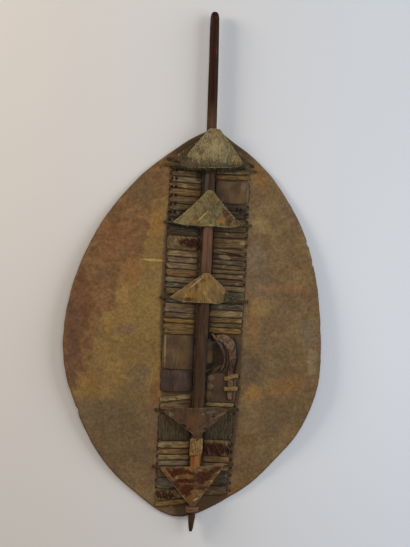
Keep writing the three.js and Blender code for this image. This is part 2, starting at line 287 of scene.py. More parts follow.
class Finish:
    """A material made of nodes. Each method adds a step and gives back the socket it made."""

    def __init__(self, name, specular):
        """A plain material; specular says how strongly it shines."""
        self.material = bpy.data.materials.new(name)
        self.material.use_nodes = True
        self.nodes = self.material.node_tree.nodes
        self.shader = self.nodes["Principled BSDF"]
        self.shader.inputs["Specular IOR Level"].default_value = specular
        self.place = self.nodes.new("ShaderNodeTexCoord").outputs["Object"]

    def plug(self, socket, value):
        """Links a socket, or sets a plain value, at an input."""
        if isinstance(value, bpy.types.NodeSocket):
            self.material.node_tree.links.new(value, socket)
        else:
            socket.default_value = value

    def math(self, step, first, second=0.0):
        """One step of arithmetic on two values."""
        node = self.nodes.new("ShaderNodeMath")
        node.operation = step
        self.plug(node.inputs[0], first)
        self.plug(node.inputs[1], second)
        return node.outputs[0]

    def lumps(self, size, stretch=(1, 1, 1), seed=0, detail=3, turn=0.0, bend=0.0):
        """Noise in lumps about size millimetres wide, longer where stretch is above 1."""
        mapping = self.nodes.new("ShaderNodeMapping")
        mapping.vector_type = "TEXTURE"
        mapping.inputs["Location"].default_value = (seed * 0.37, seed * 0.73, seed * 0.19)
        mapping.inputs["Rotation"].default_value = (0, 0, turn)
        mapping.inputs["Scale"].default_value = [size * MM * share for share in stretch]
        self.plug(mapping.inputs["Vector"], self.place)
        node = self.nodes.new("ShaderNodeTexNoise")
        node.inputs["Scale"].default_value = 1
        node.inputs["Detail"].default_value = detail
        node.inputs["Distortion"].default_value = bend
        self.plug(node.inputs["Vector"], mapping.outputs["Vector"])
        return node.outputs["Fac"]

    def between(self, value, low, high):
        """0 at low, 1 at high and a soft ramp in between; high may be the smaller number."""
        node = self.nodes.new("ShaderNodeMapRange")
        node.interpolation_type = "SMOOTHSTEP"
        flip = high < low
        self.plug(node.inputs["Value"], value)
        node.inputs["From Min"].default_value = high if flip else low
        node.inputs["From Max"].default_value = low if flip else high
        node.inputs["To Min"].default_value = 1 if flip else 0
        node.inputs["To Max"].default_value = 0 if flip else 1
        return node.outputs["Result"]

    def plus(self, first, second, share):
        """The first value and a share of the second."""
        return self.math("ADD", first, self.math("MULTIPLY", second, share))

    def mix(self, share, first, second, way="MIX"):
        """The first colour, with the second laid over it where share is 1."""
        node = self.nodes.new("ShaderNodeMix")
        node.data_type = "RGBA"
        node.blend_type = way
        self.plug(node.inputs["Factor"], share)
        self.plug(node.inputs[6], first)
        self.plug(node.inputs[7], second)
        return node.outputs[2]

    def two_tones(self, noise, dark, light, low=0.36, high=0.64):
        """A colour that goes from the dark paint to the light one as the noise rises."""
        return self.mix(self.between(noise, low, high), tone(dark), tone(light))

    def tinted(self, colour, noise, low, high, paint, share):
        """The colour drawn towards a paint by a share, where the noise goes from low to high."""
        return self.mix(self.between(noise, low, high), colour, self.mix(share, colour, tone(paint)))

    def over(self, colour, share, paint, strength):
        """The colour with a paint laid over it where share is 1, as thick as strength says."""
        return self.mix(self.math("MULTIPLY", share, strength), colour, tone(paint))

    def shaded(self, colour, greys, strength=0.4):
        """The colour made lighter and darker by greys, with its hue kept."""
        return self.mix(strength, colour, greys, "SOFT_LIGHT")

    def axis(self, letter):
        """How far along x, y or z a point lies, in metres."""
        node = self.nodes.new("ShaderNodeSeparateXYZ")
        self.plug(node.inputs[0], self.place)
        return node.outputs[letter]

    def spot(self, centre, reach, turn=0.0, ragged=0.5, grain=12, soft=0.25, seed=0):
        """A stain: 1 inside an ellipse with a ragged edge and 0 outside, sizes in millimetres."""
        mapping = self.nodes.new("ShaderNodeMapping")
        mapping.vector_type = "TEXTURE"
        mapping.inputs["Location"].default_value = (centre[0] * MM, centre[1] * MM, 0)
        mapping.inputs["Rotation"].default_value = (0, 0, turn)
        mapping.inputs["Scale"].default_value = (reach[0] * MM, reach[1] * MM, 1)
        self.plug(mapping.inputs["Vector"], self.place)
        length = self.nodes.new("ShaderNodeVectorMath")
        length.operation = "LENGTH"
        self.plug(length.inputs[0], mapping.outputs["Vector"])
        uneven = self.math("SUBTRACT", self.lumps(grain, seed=seed), 0.5)
        rough = self.math("MULTIPLY", uneven, 2 * ragged)
        return self.between(self.math("ADD", length.outputs["Value"], rough), 1 + soft, 1 - soft)

    def marked(self, colour, marks, ragged, grain, soft, seed):
        """The colour with marks laid over it: centre, reach, turn, paint and strength of each."""
        for number, (centre, reach, turn, paint, strength) in enumerate(marks):
            mark = self.spot(centre, reach, turn, ragged, grain, soft, seed + number)
            colour = self.over(colour, mark, paint, strength)
        return colour

    def holes(self, x, low, high, spacing, reach):
        """1 at a row of small holes that climbs from low to high at x, sizes in millimetres; their dark
        is painted shade.
        """
        away = self.math("ABSOLUTE", self.math("SUBTRACT", self.axis("X"), x * MM))
        rung = self.math("PINGPONG", self.math("SUBTRACT", self.axis("Y"), low * MM), spacing / 2 * MM)
        span = self.math("MULTIPLY", self.between(self.axis("Y"), (low - 3) * MM, (low - 1) * MM),
                         self.between(self.axis("Y"), (high + 3) * MM, (high + 1) * MM))
        row = self.math("MULTIPLY", self.between(away, reach * 1.3 * MM, reach * 0.6 * MM),
                        self.between(rung, reach * 1.6 * MM, reach * 0.8 * MM))
        return self.math("MULTIPLY", row, span)

    def hole_shade_rows(self, colour, rows, spacing, reach, paint, strength):
        """The colour with rows of holes painted over it as dark shade: x, lowest and highest place of
        each row.
        """
        for x, low, high in rows:
            row = self.holes(x, low, high, spacing, reach)
            colour = self.over(colour, row, paint, strength)
        return colour

    def edge(self):
        """The distance from the nearest cut edge, in millimetres."""
        node = self.nodes.new("ShaderNodeAttribute")
        node.attribute_name = "edge_mm"
        return node.outputs["Fac"]

    def edged(self, colour, wide, full, paint, strength):
        """The colour with a paint at the cut edges: none at wide millimetres, all of it at full."""
        return self.over(colour, self.between(self.edge(), wide, full), paint, strength)

    def done(self, colour, roughness, height, depth):
        """Plugs colour, roughness and a bump of depth millimetres into the shader."""
        self.plug(self.shader.inputs["Base Color"], colour)
        self.plug(self.shader.inputs["Roughness"], roughness)
        bump = self.nodes.new("ShaderNodeBump")
        bump.inputs["Strength"].default_value = 1
        bump.inputs["Distance"].default_value = depth * MM
        self.plug(bump.inputs["Height"], height)
        self.plug(self.shader.inputs["Normal"], bump.outputs["Normal"])
        return self.material


print("helpers for finishes are ready")

# %% [markdown]
# ## The hide
# The body is one oval of hide, flat between the columns, with both lobes bent gently up off the
# ground. It could be a flat plane with a thickness modifier, but the rim is cut by hand and slopes,
# so the sheet is built row by row between the two rims, with a rounded edge. The slits come later.

# %% Rim and bend of the hide
rim_stations = np.array([
    (10, 253, 32), (-18, 238, 52), (-51, 214, 87), (-93, 180, 124), (-130, 140, 155),
    (-166, 90, 184.5), (-192, 40, 204), (-214, -20, 219), (-226.5, -80, 226.5), (-230, -135, 230),
    (-223, -190, 227.5), (-206, -240, 214.5), (-184.5, -290, 190), (-157, -335, 153),
    (-121.5, -375, 115.5), (-84, -405, 72.5), (-56, -425, 39), (-39, -434, 20), (-20, -440, -2),
])
hide_thickness = 3
lace_thickness = 2.1
hide_under = hide_low[2]
hide_top = hide_under + hide_thickness
flat_left = -68
flat_right = 98
lobe_reach = 230
lift_left = 17
lift_right = 14
nicks = [("right", 59, 2.2), ("right", 23, 1.8), ("left", -256, 2.4)]


def smooth_stations(stations, count):
    """Points on a smooth curve through the stations."""
    padded = np.vstack([2 * stations[0] - stations[1], stations, 2 * stations[-1] - stations[-2]])
    found = []
    for step in np.linspace(0, len(stations) - 1.0001, count):
        first = int(step)
        share = step - first
        a, b, c, d = padded[first : first + 4]
        curve = 2 * b + (c - a) * share + (2 * a - 5 * b + 4 * c - d) * share**2
        found.append((curve + (3 * b - a - 3 * c + d) * share**3) / 2)
    return np.array(found)


fine_rim = smooth_stations(rim_stations, 1200)


def rim_at(y):
    """The left and right rim of the hide at height y."""
    rising = fine_rim[::-1]
    left = np.interp(y, rising[:, 1], rising[:, 0])
    right = np.interp(y, rising[:, 1], rising[:, 2])
    return left, right


def lobe_lift(x):
    """How far the hide has bent up from the ground at x."""
    left = np.maximum(0, (flat_left - x) / (lobe_reach + flat_left))
    right = np.maximum(0, (x - flat_right) / (lobe_reach - flat_right))
    return lift_left * left**2 + lift_right * right**2


print("rim reaches from x", fine_rim[:, 0].min().round(1), "to", fine_rim[:, 2].max().round(1), "mm")

# %% [markdown]
# ## The sheet of hide
# On the real shield the knife left a rim that wanders a little, and the dry hide has buckled in
# slow waves with small dents. A sculpted plane would lose the exact rim, so each row of the sheet
# runs from rim to rim with its own width, and the waves only grow outside the flat middle.

# %% The sheet of hide
hide_rows = 216
hide_columns = 150
rim_round = 3.0
rim_wobble = 0.7
rim_inset = 0.3
nick_length = 3.5
lobe_start = 32
wave_depth = 0.9
dent_depth = 0.35
under_rounding = 0.6
over_rounding = 1.5
brink = 0.5
end_crowding = 0.2


def make_hide_shell():
    """The sheet of hide, with its hairy front as the second finish."""
    spread = np.linspace(0, 1, hide_rows)
    spread = (1 - end_crowding) * spread + end_crowding * (1 - np.cos(spread * math.pi)) / 2
    y = hide_high[1] + (hide_low[1] - hide_high[1]) * spread
    left, right = rim_at(y)
    slope_left = np.hypot(1, np.gradient(left, y))
    slope_right = np.hypot(1, np.gradient(right, y))
    rim_points = np.column_stack([y, y * 0, y * 0])
    left = left + rim_wobble * wander(rim_points, 22, 3) + rim_inset
    right = right + rim_wobble * wander(rim_points + 500, 22, 4) - rim_inset
    for side, place, depth in nicks:
        bite = depth * np.exp(-(((y - place) / nick_length) ** 2))
        left = left + (bite if side == "left" else 0)
        right = right - (bite if side == "right" else 0)
    share = np.linspace(0, 1, hide_columns)
    x = left[:, None] + (right - left)[:, None] * share
    rows = np.repeat(y[:, None], hide_columns, axis=1)
    from_left = (x - left[:, None]) / slope_left[:, None]
    from_right = (right[:, None] - x) / slope_right[:, None]
    edge = np.minimum(from_left, from_right)
    edge = np.minimum(edge, np.minimum(y[0] - y, y - y[-1])[:, None])
    in_lobe = np.maximum(smooth_step(-x, -flat_left, lobe_start - flat_left),
                         smooth_step(x, flat_right, lobe_start + flat_right))
    waves = wave_depth * wander_over(x, rows, 75, 5) * in_lobe
    dents = dent_depth * wander_over(x, rows, 16, 6) * (0.25 + 0.75 * in_lobe)
    rounding = 1 - smooth_step(edge, 0, rim_round)
    under = hide_under + lobe_lift(x) + np.maximum(waves, -0.2) + under_rounding * rounding
    over = under + hide_thickness + dents - over_rounding * rounding
    top = np.stack([x, rows, over], axis=2)
    bottom = np.stack([x, rows, under], axis=2)
    brink_left = (top[:, :1] + bottom[:, :1]) / 2 - (brink, 0, 0)
    brink_right = (top[:, -1:] + bottom[:, -1:]) / 2 + (brink, 0, 0)
    ring = np.concatenate([top, brink_right, bottom[:, ::-1], brink_left], axis=1)
    rim_edge = np.zeros((hide_rows, 1))
    ring_edge = np.concatenate([edge, rim_edge, edge[:, ::-1], rim_edge], axis=1)
    around = ring.shape[1]
    faces = tube_faces(hide_rows, around, turned=True)
    on_front = [1 if hide_columns < column < 2 * hide_columns else 0 for column in range(around)]
    finish = on_front * (hide_rows - 1)
    last = hide_columns - 1
    for row, flip in ((0, False), (hide_rows - 1, True)):
        caps = [(column, column + 1, 2 * last + 1 - column, 2 * last + 2 - column)
                for column in range(last)]
        caps += [(2 * last + 3, 0, 2 * last + 2), (last, last + 1, last + 2)]
        for cap in caps:
            cap = tuple(row * around + index for index in cap)
            faces.append(cap[::-1] if flip else cap)
            finish.append(0)
    return Shell(ring.reshape(-1, 3), faces, np.maximum(ring_edge, 0).ravel(), finish)


hide_shell = make_hide_shell()
print("hide sheet has", len(hide_shell.faces), "faces")

# %% [markdown]
# ## Plan of the lacing
# Each thong winds round its column: a bar on the back, down through the inner slit, slantwise
# across the front and up through the next outer slit. The frame says where each thong is, so the
# plan only holds the height and the finish of its bars, from the top down, and how far their inner
# ends are raised. Every slit that a bar needs is noted for the hide.

# %% Plan of the lacing
layer_gap = 0.3
front_layer = lace_thickness / 2
back_layer = hide_top + layer_gap + lace_thickness / 2
lace_crown = 0.8
lace_gap = 0.8
inner_reach = 2.5
slit_play = 0.7
shoulder = 4
column_taper = 0.045
taper_from = -40

left_thongs = {
    "lace_left_1": (-2, [(11, "brown"), (11, "olive"), (11, "pale"), (11, "brown"), (13, "tan")]),
    "lace_left_2": (-3, [(14, "brown"), (13, "plum"), (13, "shade"), (14, "shade"), (17, "shade")]),
    "patch_left_1": (-2, [(26, "patch")]),
    "lace_left_3": (-2, [(12, "straw"), (11, "pink"), (11, "pale"), (14, "tan")]),
    "lace_left_4": (-2, [(11, "pale"), (9, "grey"), (13, "brown"), (14, "grey")]),
    "lace_left_5": (-1, [(17, "pink"), (10, "olive"), (9, "ochre"), (20, "tan")]),
    "panel_left_1": (0, [(63, "panel")]),
    "panel_left_2": (1, [(40, "dark_panel")]),
    "lace_left_6": (8, [(10.5, "straw"), (15, "brown")]),
    "panel_left_3": (4, [(51, "hairy_panel")]),
    "lace_left_7": (3, [(13, "straw"), (11, "tan"), (10, "straw"), (11, "pale")]),
    "lace_left_8": (5, [(19, "plum"), (20, "grey")]),
    "patch_left_2": (9, [(17, "patch")]),
    "lace_left_9": (8, [(10.5, "ochre")]),
}
right_thongs = {
    "lace_right_1": (0, [(11, "straw"), (10, "tan")]),
    "panel_right_1": (1, [(41, "panel")]),
    "lace_right_2": (0, [(13, "shade"), (14, "shade"), (13, "plum")]),
    "lace_right_3": (0, [(11, "plum"), (11, "plum"), (18, "brown")]),
    "lace_right_4": (2, [(11, "brown"), (9, "plum"), (9, "grey"), (8, "brown")]),
    "lace_right_5": (1, [(8, "olive"), (10, "brown"), (11, "plum"), (11, "olive")]),
    "lace_right_6": (0, [(21, "grey"), (12, "grey")]),
    "lace_right_7": (0, [(13, "straw"), (10, "tan"), (8, "olive"), (11, "ochre")]),
    "panel_right_2": (0, [(53, "panel")]),
    "lace_right_8": (0, [(8.5, "straw")]),
    "panel_right_3": (0, [(49, "hairy_panel")]),
    "patch_right_1": (0, [(29, "patch")]),
    "lace_right_9": (0, [(12, "tan"), (15, "pale")]),
    "lace_right_10": (-2, [(26, "shade"), (17, "plum")]),
}


def bar_places(name, lean, bars, inward):
    """The slits of each bar: its outer end, its inner end, its width and its finish."""
    low, high = box_mm(name)
    upper = (low[1] + high[1]) / 2 + sum(height for height, _ in bars) / 2
    half = lace_thickness / 2
    inner = (high[0] - half if inward > 0 else low[0] + half) + inward * inner_reach
    widest = low[0] + half if inward > 0 else high[0] - half
    first_y = upper - bars[0][0] / 2
    places = []
    for height, finish in bars:
        y = upper - height / 2
        drop = max(0, min(first_y, taper_from) - y) if inward < 0 else 0
        outer = widest - column_taper * drop
        places.append(((outer, y - lean / 2), (inner, y + lean / 2), height - lace_gap, finish))
        upper -= height
    return places


plan = {}
for thongs, inward in ((left_thongs, 1), (right_thongs, -1)):
    for name, (lean, bars) in thongs.items():
        plan[name] = (inward, bar_places(name, lean, bars, inward))
print(len(plan), "thongs with", sum(len(bars) for _, bars in plan.values()), "bars")

# %% [markdown]
# ## Slits for the lacing
# A slit is cut before the thong is drawn through, a little longer than the pinched bar, and it
# gapes towards the pull. The list below holds every slit: its middle, its length and the side on
# which it gapes. The tabs, the hand loop and its ties add theirs to the same list further down.

# %% Slits for the lacing
pinch_share = 0.2
pinch_most = 3.5
slits = []


def slit_width(width):
    """A bar is pinched where it passes through the hide."""
    return width - min(pinch_share * width, pinch_most)


for inward, bars in plan.values():
    for outer_end, inner_end, width, _ in bars:
        slits.append((*outer_end, slit_width(width) + slit_play, -inward))
        slits.append((*inner_end, slit_width(width) + slit_play, inward))
print(len(slits), "slits")

# %% [markdown]
# ## Plan of the tabs
# Each tab is a triangle of hide that stands like a tent over the stick. Its long edge is the hem,
# and a narrow strap runs on from each corner, turns down through a slit and lies on the front.
# The sides leave the stick at a tangent, so the tab is tight over it, as wet hide is when it dries.

# %% Plan of the tabs
tab_thickness = 2.2
tab_play = 0.8
corner_width = 5
slit_outset = 7
tab_tail = 9
stick_radius = 9
stick_height = (stick_low[2] + stick_high[2]) / 2
stick_bow = 6
stick_x = 13
stick_length = stick_high[1] - stick_low[1]
lace_top = back_layer + lace_thickness / 2 + lace_crown

tabs = {
    "top_under_tab": dict(left=(-50, 199), apex=(17, 249), right=(86, 196), base=8,
                          slits=((-58, 199), (94, 193))),
    "tab_1": dict(left=(-36, 188), apex=(24, 255), right=(76, 193), base=5, layer=1, plateau=0.2,
                  bulge=0.92, feet=(-50, 86), slits=((-63, 189), (99, 184))),
    "tab_2": dict(left=(-43, 86), apex=(21, 145), right=(79, 85), base=4, plateau=0.04, bulge=1.15),
    "tab_3": dict(left=(-43, -49), apex=(20, -2), right=(55, -51), base=5, plateau=0.1,
                  blunt=(2, 21), feet=(-43, 79)),
    "tab_4": dict(left=(-45, -251), apex=(15, -292), right=(68, -245), base=-6),
    "tab_5": dict(left=(-46, -352), apex=(12, -417), right=(66, -344), base=-1),
}


def stick_centre(y):
    """The middle of the stick at height y; it is bowed a little to the right."""
    return stick_x + stick_bow * np.sin(math.pi * (np.asarray(y) / stick_length + 0.5))


def tab_slits(tab):
    """Where the straps of a tab go through the hide."""
    if "slits" in tab:
        return tab["slits"]
    left, right = tab["left"], tab["right"]
    outer_right = 88 - column_taper * max(0, taper_from - right[1])
    return (-52 - slit_outset, left[1]), (outer_right + slit_outset, right[1] + 1)


for tab in tabs.values():
    for (x, y), side in zip(tab_slits(tab), (-1, 1)):
        slits.append((x, y, corner_width + slit_play, side))
print("stick from", stick_x, "at height", round(stick_height, 2), "mm;", len(slits), "slits")

# %% [markdown]
# ## Plan of the hand loop and its ties
# Beside the stick a strap of doubled hide comes up through the hide, arches over the space for the
# hand and lies flat under two small ties. A thinner strand runs beside it. Their routes aren't
# coiled, so they are lists of stations: place, width and direction of the width.

# %% Plan of the hand loop and its ties
loop_thickness = 3.5
lying = lace_top + layer_gap + loop_thickness / 2
strap_route = [
    (48, -118, front_layer, 8, 0, 1, 0), (37, -118, front_layer, 9, 0, 1, 0),
    (37, -118, 10, 10, 0, 1, 0), (44, -116, 18, 12, 0.3, 1, 0), (52, -115.5, 25, 17, 0.45, 0.9, 0),
    (60, -118, 30, 20, 0.65, 0.75, 0), (67, -125, 33, 20, 0.9, 0.45, 0),
    (71.5, -136, 34, 17.5, 1, 0.15, 0), (73.5, -150, 31, 15, 1, 0, 0), (73, -163, 23, 14, 1, -0.1, 0),
    (71.5, -173, lying + 2.5, 14, 1, -0.1, 0), (71.5, -181, lying, 14, 1, 0, 0),
    (71.5, -226, lying - 1, 11, 1, 0, 0),
]
strand_route = [
    (33, -108, 12, 6, 0.6, 1, 0), (41, -116, 18, 8, 0.8, 0.8, 0), (51.5, -129, 22, 8.5, 0.9, 0.5, 0),
    (58, -142, 23, 8, 1, 0.2, 0), (60, -155, 20, 7.5, 1, -0.1, 0),
    (58, -167, 14, 7, 1, -0.5, 0), (52, -176, lying + 1, 6, 0.8, -0.6, 0),
]
edge_route = [
    (73, -113, 26, 3.5, 1, 0.5, 0), (79, -122, 31, 4, 1, 0.3, 0), (81.5, -135, 33, 4.5, 1, 0, 0),
    (81.5, -150, 30, 4, 1, 0, 0), (79.5, -166, 22, 3.5, 1, -0.2, 0), (78, -178, lying + 1, 3, 1, 0, 0),
]
loop_slit = (37, -118)
tie_width = 8.5
tie_heights = {"tie_1": -186, "tie_2": -206.5}
tie_inner = 62
tie_outer = 85
tie_tail = 8

slits.append((*loop_slit, 10 + slit_play, -1))
for y in tie_heights.values():
    slits.append((tie_inner, y, tie_width + slit_play, -1))
    slits.append((tie_outer, y, tie_width + slit_play, 1))
print("hand loop rises to", max(station[2] for station in strap_route), "mm;", len(slits), "slits")

# %% [markdown]
# ## Finish of the hide
# The holder's side is the flesh side, scraped and smoked: a red-brown upper left, a broad ochre
# field beside the lacing, and tan with grey, plum and orange stains on the right. The border of the
# ochre field has steps, so it follows a curve of x against height. The front is the hair side,
# red-brown with a few faint lighter areas. Between the columns the hide is dark with old dirt and
# painted shade, and rows of small holes, painted as dark shade, show where thongs leave their
# slits. Shade is also painted beside the slopes of the top tabs and in and under the hand loop,
# and a paler strip left of the stick paints light into its shadow.

# %% Finish of the hide
field_border = [(-245, -215), (-200, -192), (-150, -177), (-92, -167), (-80, -163), (-76, -140),
                (-40, -136), (-26, -122), (12, -108), (18, -95), (60, -93), (105, -80), (128, -66),
                (142, -50), (260, -46)]
border_wobble = 24
border_softness = 2.5
field_fades = (-252, -222)
hide_stains_and_shade = [
    # centre, reach, turn, colour, strength
    ((-105, 150), (26, 40), 0.4, "5a4a30", 0.6),
    ((-150, 60), (30, 26), 0.0, "6f4a2c", 0.6),
    ((-200, -60), (16, 60), 0.15, "5c3a24", 0.6),
    ((-212, -130), (14, 70), 0.0, "54392a", 0.7),
    ((-150, -100), (13, 18), 0.0, "836636", 0.6),
    ((-128, -50), (12, 26), 0.0, "84673a", 0.8),
    ((-180, -205), (14, 26), 0.2, "7c5a2a", 0.4),
    ((-85, -75), (22, 45), 0.1, "7a6438", 0.6),
    ((-122, -110), (24, 8), 0.2, "6c5440", 0.6),
    ((-95, -185), (26, 12), 0.1, "5a4c3a", 0.55),
    ((-88, -206), (20, 14), 0.0, "64503e", 0.45),
    ((-62, -222), (8, 24), 0.0, "6e4526", 0.6),
    ((-78, -18), (24, 16), 0.1, "745f3e", 0.5),
    ((-112, -4), (14, 22), 0.0, "7c5630", 0.8),
    ((-76, 88), (13, 28), 0.1, "7d5c30", 0.8),
    ((-150, -255), (40, 12), 0.1, "5a4833", 0.5),
    ((-90, -330), (28, 14), 0.1, "5c4a36", 0.7),
    ((108, 172), (10, 28), 0.5, "7c592e", 0.55),
    ((112, 88), (18, 12), -0.3, "85714a", 0.55),
    ((108, 30), (16, 26), 0.1, "685a48", 0.7),
    ((122, -22), (22, 14), 0.0, "645848", 0.6),
    ((160, 120), (22, 10), -0.9, "5e4c3a", 0.6),
    ((150, -22), (40, 7), 0.0, "7c5a3a", 0.6),
    ((106, -88), (10, 34), 0.1, "7e5b32", 0.5),
    ((120, -60), (18, 16), 0.0, "806840", 0.7),
    ((205, -100), (16, 26), 0.0, "665c4c", 0.5),
    ((110, -168), (16, 24), 0.2, "504436", 0.6),
    ((216, -150), (9, 24), 0.0, "85745a", 0.45),
    ((170, -196), (30, 14), 0.3, "7c5a2e", 0.5),
    ((112, -215), (16, 16), 0.0, "826338", 0.7),
    ((150, -262), (34, 22), 0.5, "5c4936", 0.6),
    ((110, -300), (22, 12), 0.2, "5e4628", 0.7),
    ((108, -360), (28, 14), 0.6, "60482e", 0.7),
    ((84, -392), (26, 10), 0.5, "6a4628", 0.7),
    ((-105, -222), (32, 20), 0.1, "5d4a31", 0.6),
    ((-125, -315), (52, 58), 0.2, "594630", 0.6),
    # these two are dark hide and painted shade beside the slopes of the top tabs
    ((-38, 232), (20, 32), -0.9, "3a2b1f", 0.8),
    ((72, 226), (12, 34), 0.9, "3d2e21", 0.7),
]
# x, lowest and highest place of each row; then spacing, size, paint and strength of the painted hole
# shade
edge_hole_shade = [(-53, -390, -240), (-52.5, -120, 190), (88, -20, 120), (81, -252, -226),
              (79.5, -390, -300)]
edge_hole_shade_look = (14, 2.3, "120c09", 0.75)
painted_shade_light_and_marks = [
    # as for the stains
    # the dark ones are painted shade in and under the hand loop
    ((31, -112), (12, 12), -0.6, "120d0a", 0.95),
    ((30, -126), (5, 7), 0.0, "4c483e", 0.7),
    ((44, -134), (8, 8), 0.0, "221a13", 0.9),
    ((48, -152), (13, 18), 0.0, "2e2217", 0.9),
    ((33, -168), (10, 5), 0.6, "17110c", 0.9),
    ((33, -151), (4.5, 10), 0.0, "5c4b2b", 0.8),
    # a paler strip of painted light in the stick's shadow on its left
    ((1, 40), (4, 90), 0.03, "6a5740", 0.7),
]
dirt_and_shade_centre = (15, -95)
dirt_and_shade_reach = (74, 420)


def border_curve(finish, points):
    """x in metres where a ragged border runs, at the height of each point."""
    low, high = points[0][0], points[-1][0]
    widest = max(abs(x) for _, x in points)
    height = finish.nodes.new("ShaderNodeMapRange")
    finish.plug(height.inputs["Value"], finish.axis("Y"))
    height.inputs["From Min"].default_value = low * MM
    height.inputs["From Max"].default_value = high * MM
    curve = finish.nodes.new("ShaderNodeFloatCurve")
    line = curve.mapping.curves[0]
    for y, x in points[1:-1]:
        line.points.new((y - low) / (high - low), -x / widest)
    line.points[0].location = (0, -points[0][1] / widest)
    line.points[-1].location = (1, -points[-1][1] / widest)
    for point in line.points:
        point.handle_type = "VECTOR"
    curve.mapping.update()
    finish.plug(curve.inputs["Value"], height.outputs["Result"])
    return finish.math("MULTIPLY", curve.outputs["Value"], -widest * MM)


def flesh_side():
    """The scraped and smoked side of the hide."""
    hide = Finish("flesh_side", specular=0.08)
    broad = hide.lumps(48, seed=1, detail=4, bend=0.6)
    middle = hide.lumps(17, seed=2, detail=4, bend=0.8)
    fine = hide.lumps(6, seed=3, detail=4)
    pores = hide.lumps(2.2, seed=4, detail=2)
    colour = hide.two_tones(broad, "624f37", "6f5a3c", 0.38, 0.62)
    colour = hide.mix(hide.between(hide.lumps(38, seed=5), 0.5, 0.66), colour, tone("675038"))
    field = hide.two_tones(broad, "6f5834", "7a6037")
    red = hide.two_tones(middle, "654a2f", "725333", 0.35, 0.65)
    wobble = hide.math("MULTIPLY", hide.math("SUBTRACT", middle, 0.5), border_wobble * MM)
    moved = hide.math("ADD", hide.axis("X"), wobble)
    offset = hide.math("SUBTRACT", moved, border_curve(hide, field_border))
    inside = hide.between(offset, -border_softness * MM, border_softness * MM)
    left_lobe = hide.math("MULTIPLY", hide.between(hide.axis("X"), 5 * MM, -5 * MM),
                          hide.between(hide.axis("Y"), field_fades[0] * MM, field_fades[1] * MM))
    colour = hide.mix(hide.math("MULTIPLY", inside, left_lobe), colour, field)
    outside = hide.math("SUBTRACT", left_lobe, hide.math("MULTIPLY", inside, left_lobe))
    colour = hide.mix(outside, colour, red)
    colour = hide.marked(colour, hide_stains_and_shade, ragged=0.85, grain=14, soft=0.5, seed=10)
    scrape = hide.spot((-74, 17), (23, 2.2), -0.03, ragged=0.4, grain=5, seed=8)
    colour = hide.over(colour, scrape, "9c8448", 0.75)
    colour = hide.shaded(colour, hide.two_tones(middle, "767676", "9a9a9a", 0.34, 0.66))
    colour = hide.shaded(colour, hide.two_tones(fine, "9c9c9c", "d6d6d6"))
    speckle = hide.lumps(3, seed=7, detail=2)
    colour = hide.shaded(colour, hide.two_tones(speckle, "a2a2a2", "d2d2d2"))
    colour = hide.over(colour, hide.between(pores, 0.66, 0.74), "35261a", 0.5)
    # dirt and painted shade between the columns, under the stick and the lacing
    dirt_and_shade_between_columns = hide.spot(dirt_and_shade_centre, dirt_and_shade_reach, 0.033, ragged=0.04, grain=9, soft=0.04)
    colour = hide.over(colour, dirt_and_shade_between_columns, "3e2f20", 0.85)
    colour = hide.marked(colour, painted_shade_light_and_marks, ragged=0.5, grain=6, soft=0.3, seed=70)
    colour = hide.hole_shade_rows(colour, edge_hole_shade, *edge_hole_shade_look)
    colour = hide.edged(colour, 3.2, 0.8, "46372a", 0.45)
    roughness = hide.between(middle, 1.25, -0.1)
    height = hide.plus(hide.math("MULTIPLY", fine, 0.7), pores, 0.3)
    return hide.done(colour, roughness, height, 0.55)


def hair_side():
    """The front, still with its short hair: red-brown, faintly lighter in places, worn at the rim."""
    hair = Finish("hair_side", specular=0.1)
    strands = hair.lumps(1.1, stretch=(1, 14, 1), seed=21, detail=4, bend=0.3)
    tufts = hair.lumps(9, stretch=(1, 3, 1), seed=22, bend=1.0)
    colour = hair.two_tones(strands, "3f2415", "6e4526", 0.35, 0.65)
    lighter = hair.between(hair.lumps(120, seed=23, detail=5, bend=0.8), 0.56, 0.585)
    colour = hair.mix(lighter, colour, hair.two_tones(strands, "6b5138", "86694a", 0.3, 0.7))
    colour = hair.tinted(colour, tufts, 0.6, 0.75, "2b1a10", 0.5)
    colour = hair.mix(hair.between(hair.edge(), 7, 1), colour, tone("5a4430"))
    return hair.done(colour, 0.62, hair.plus(strands, tufts, 0.5), 0.8)


hide_finishes = [flesh_side(), hair_side()]
print("hide finish with", len(hide_stains_and_shade), "stains")

# %% [markdown]
# ## The slits
# In the real hide a knife point made each slit, and drying pulled it open into a narrow lens. Holes
# could be left between the rows of the sheet, but a slit rarely falls on them. So upright prisms of
# the right outline are cut away in one go, and the cut is applied, since the export needs plain
# meshes.

# %% Cut the slits
slit_gape = 1.5
slit_lean = 0.35
slit_corners = 10
cutter_reach = 6


def slit_cutter():
    """One shell of upright lens-shaped prisms, a prism for each slit."""
    shells = []
    for x, y, length, outward in slits:
        turn = np.arange(slit_corners) * 2 * math.pi / slit_corners
        across = slit_gape * np.cos(turn) + slit_lean * outward
        up = length / 2 * np.sign(np.sin(turn)) * np.abs(np.sin(turn)) ** 0.7
        ring = np.column_stack([x + across, y + up])
        low = np.column_stack([ring, np.full(slit_corners, hide_under - cutter_reach)])
        high = np.column_stack([ring, np.full(slit_corners, hide_top + cutter_reach)])
        sides = [(i, (i + 1) % slit_corners, (i + 1) % slit_corners + slit_corners, i + slit_corners)
                 for i in range(slit_corners)]
        ends = [tuple(range(slit_corners))[::-1], tuple(range(slit_corners, 2 * slit_corners))]
        shells.append(Shell(np.vstack([low, high]), sides + ends))
    return join_shells(shells)


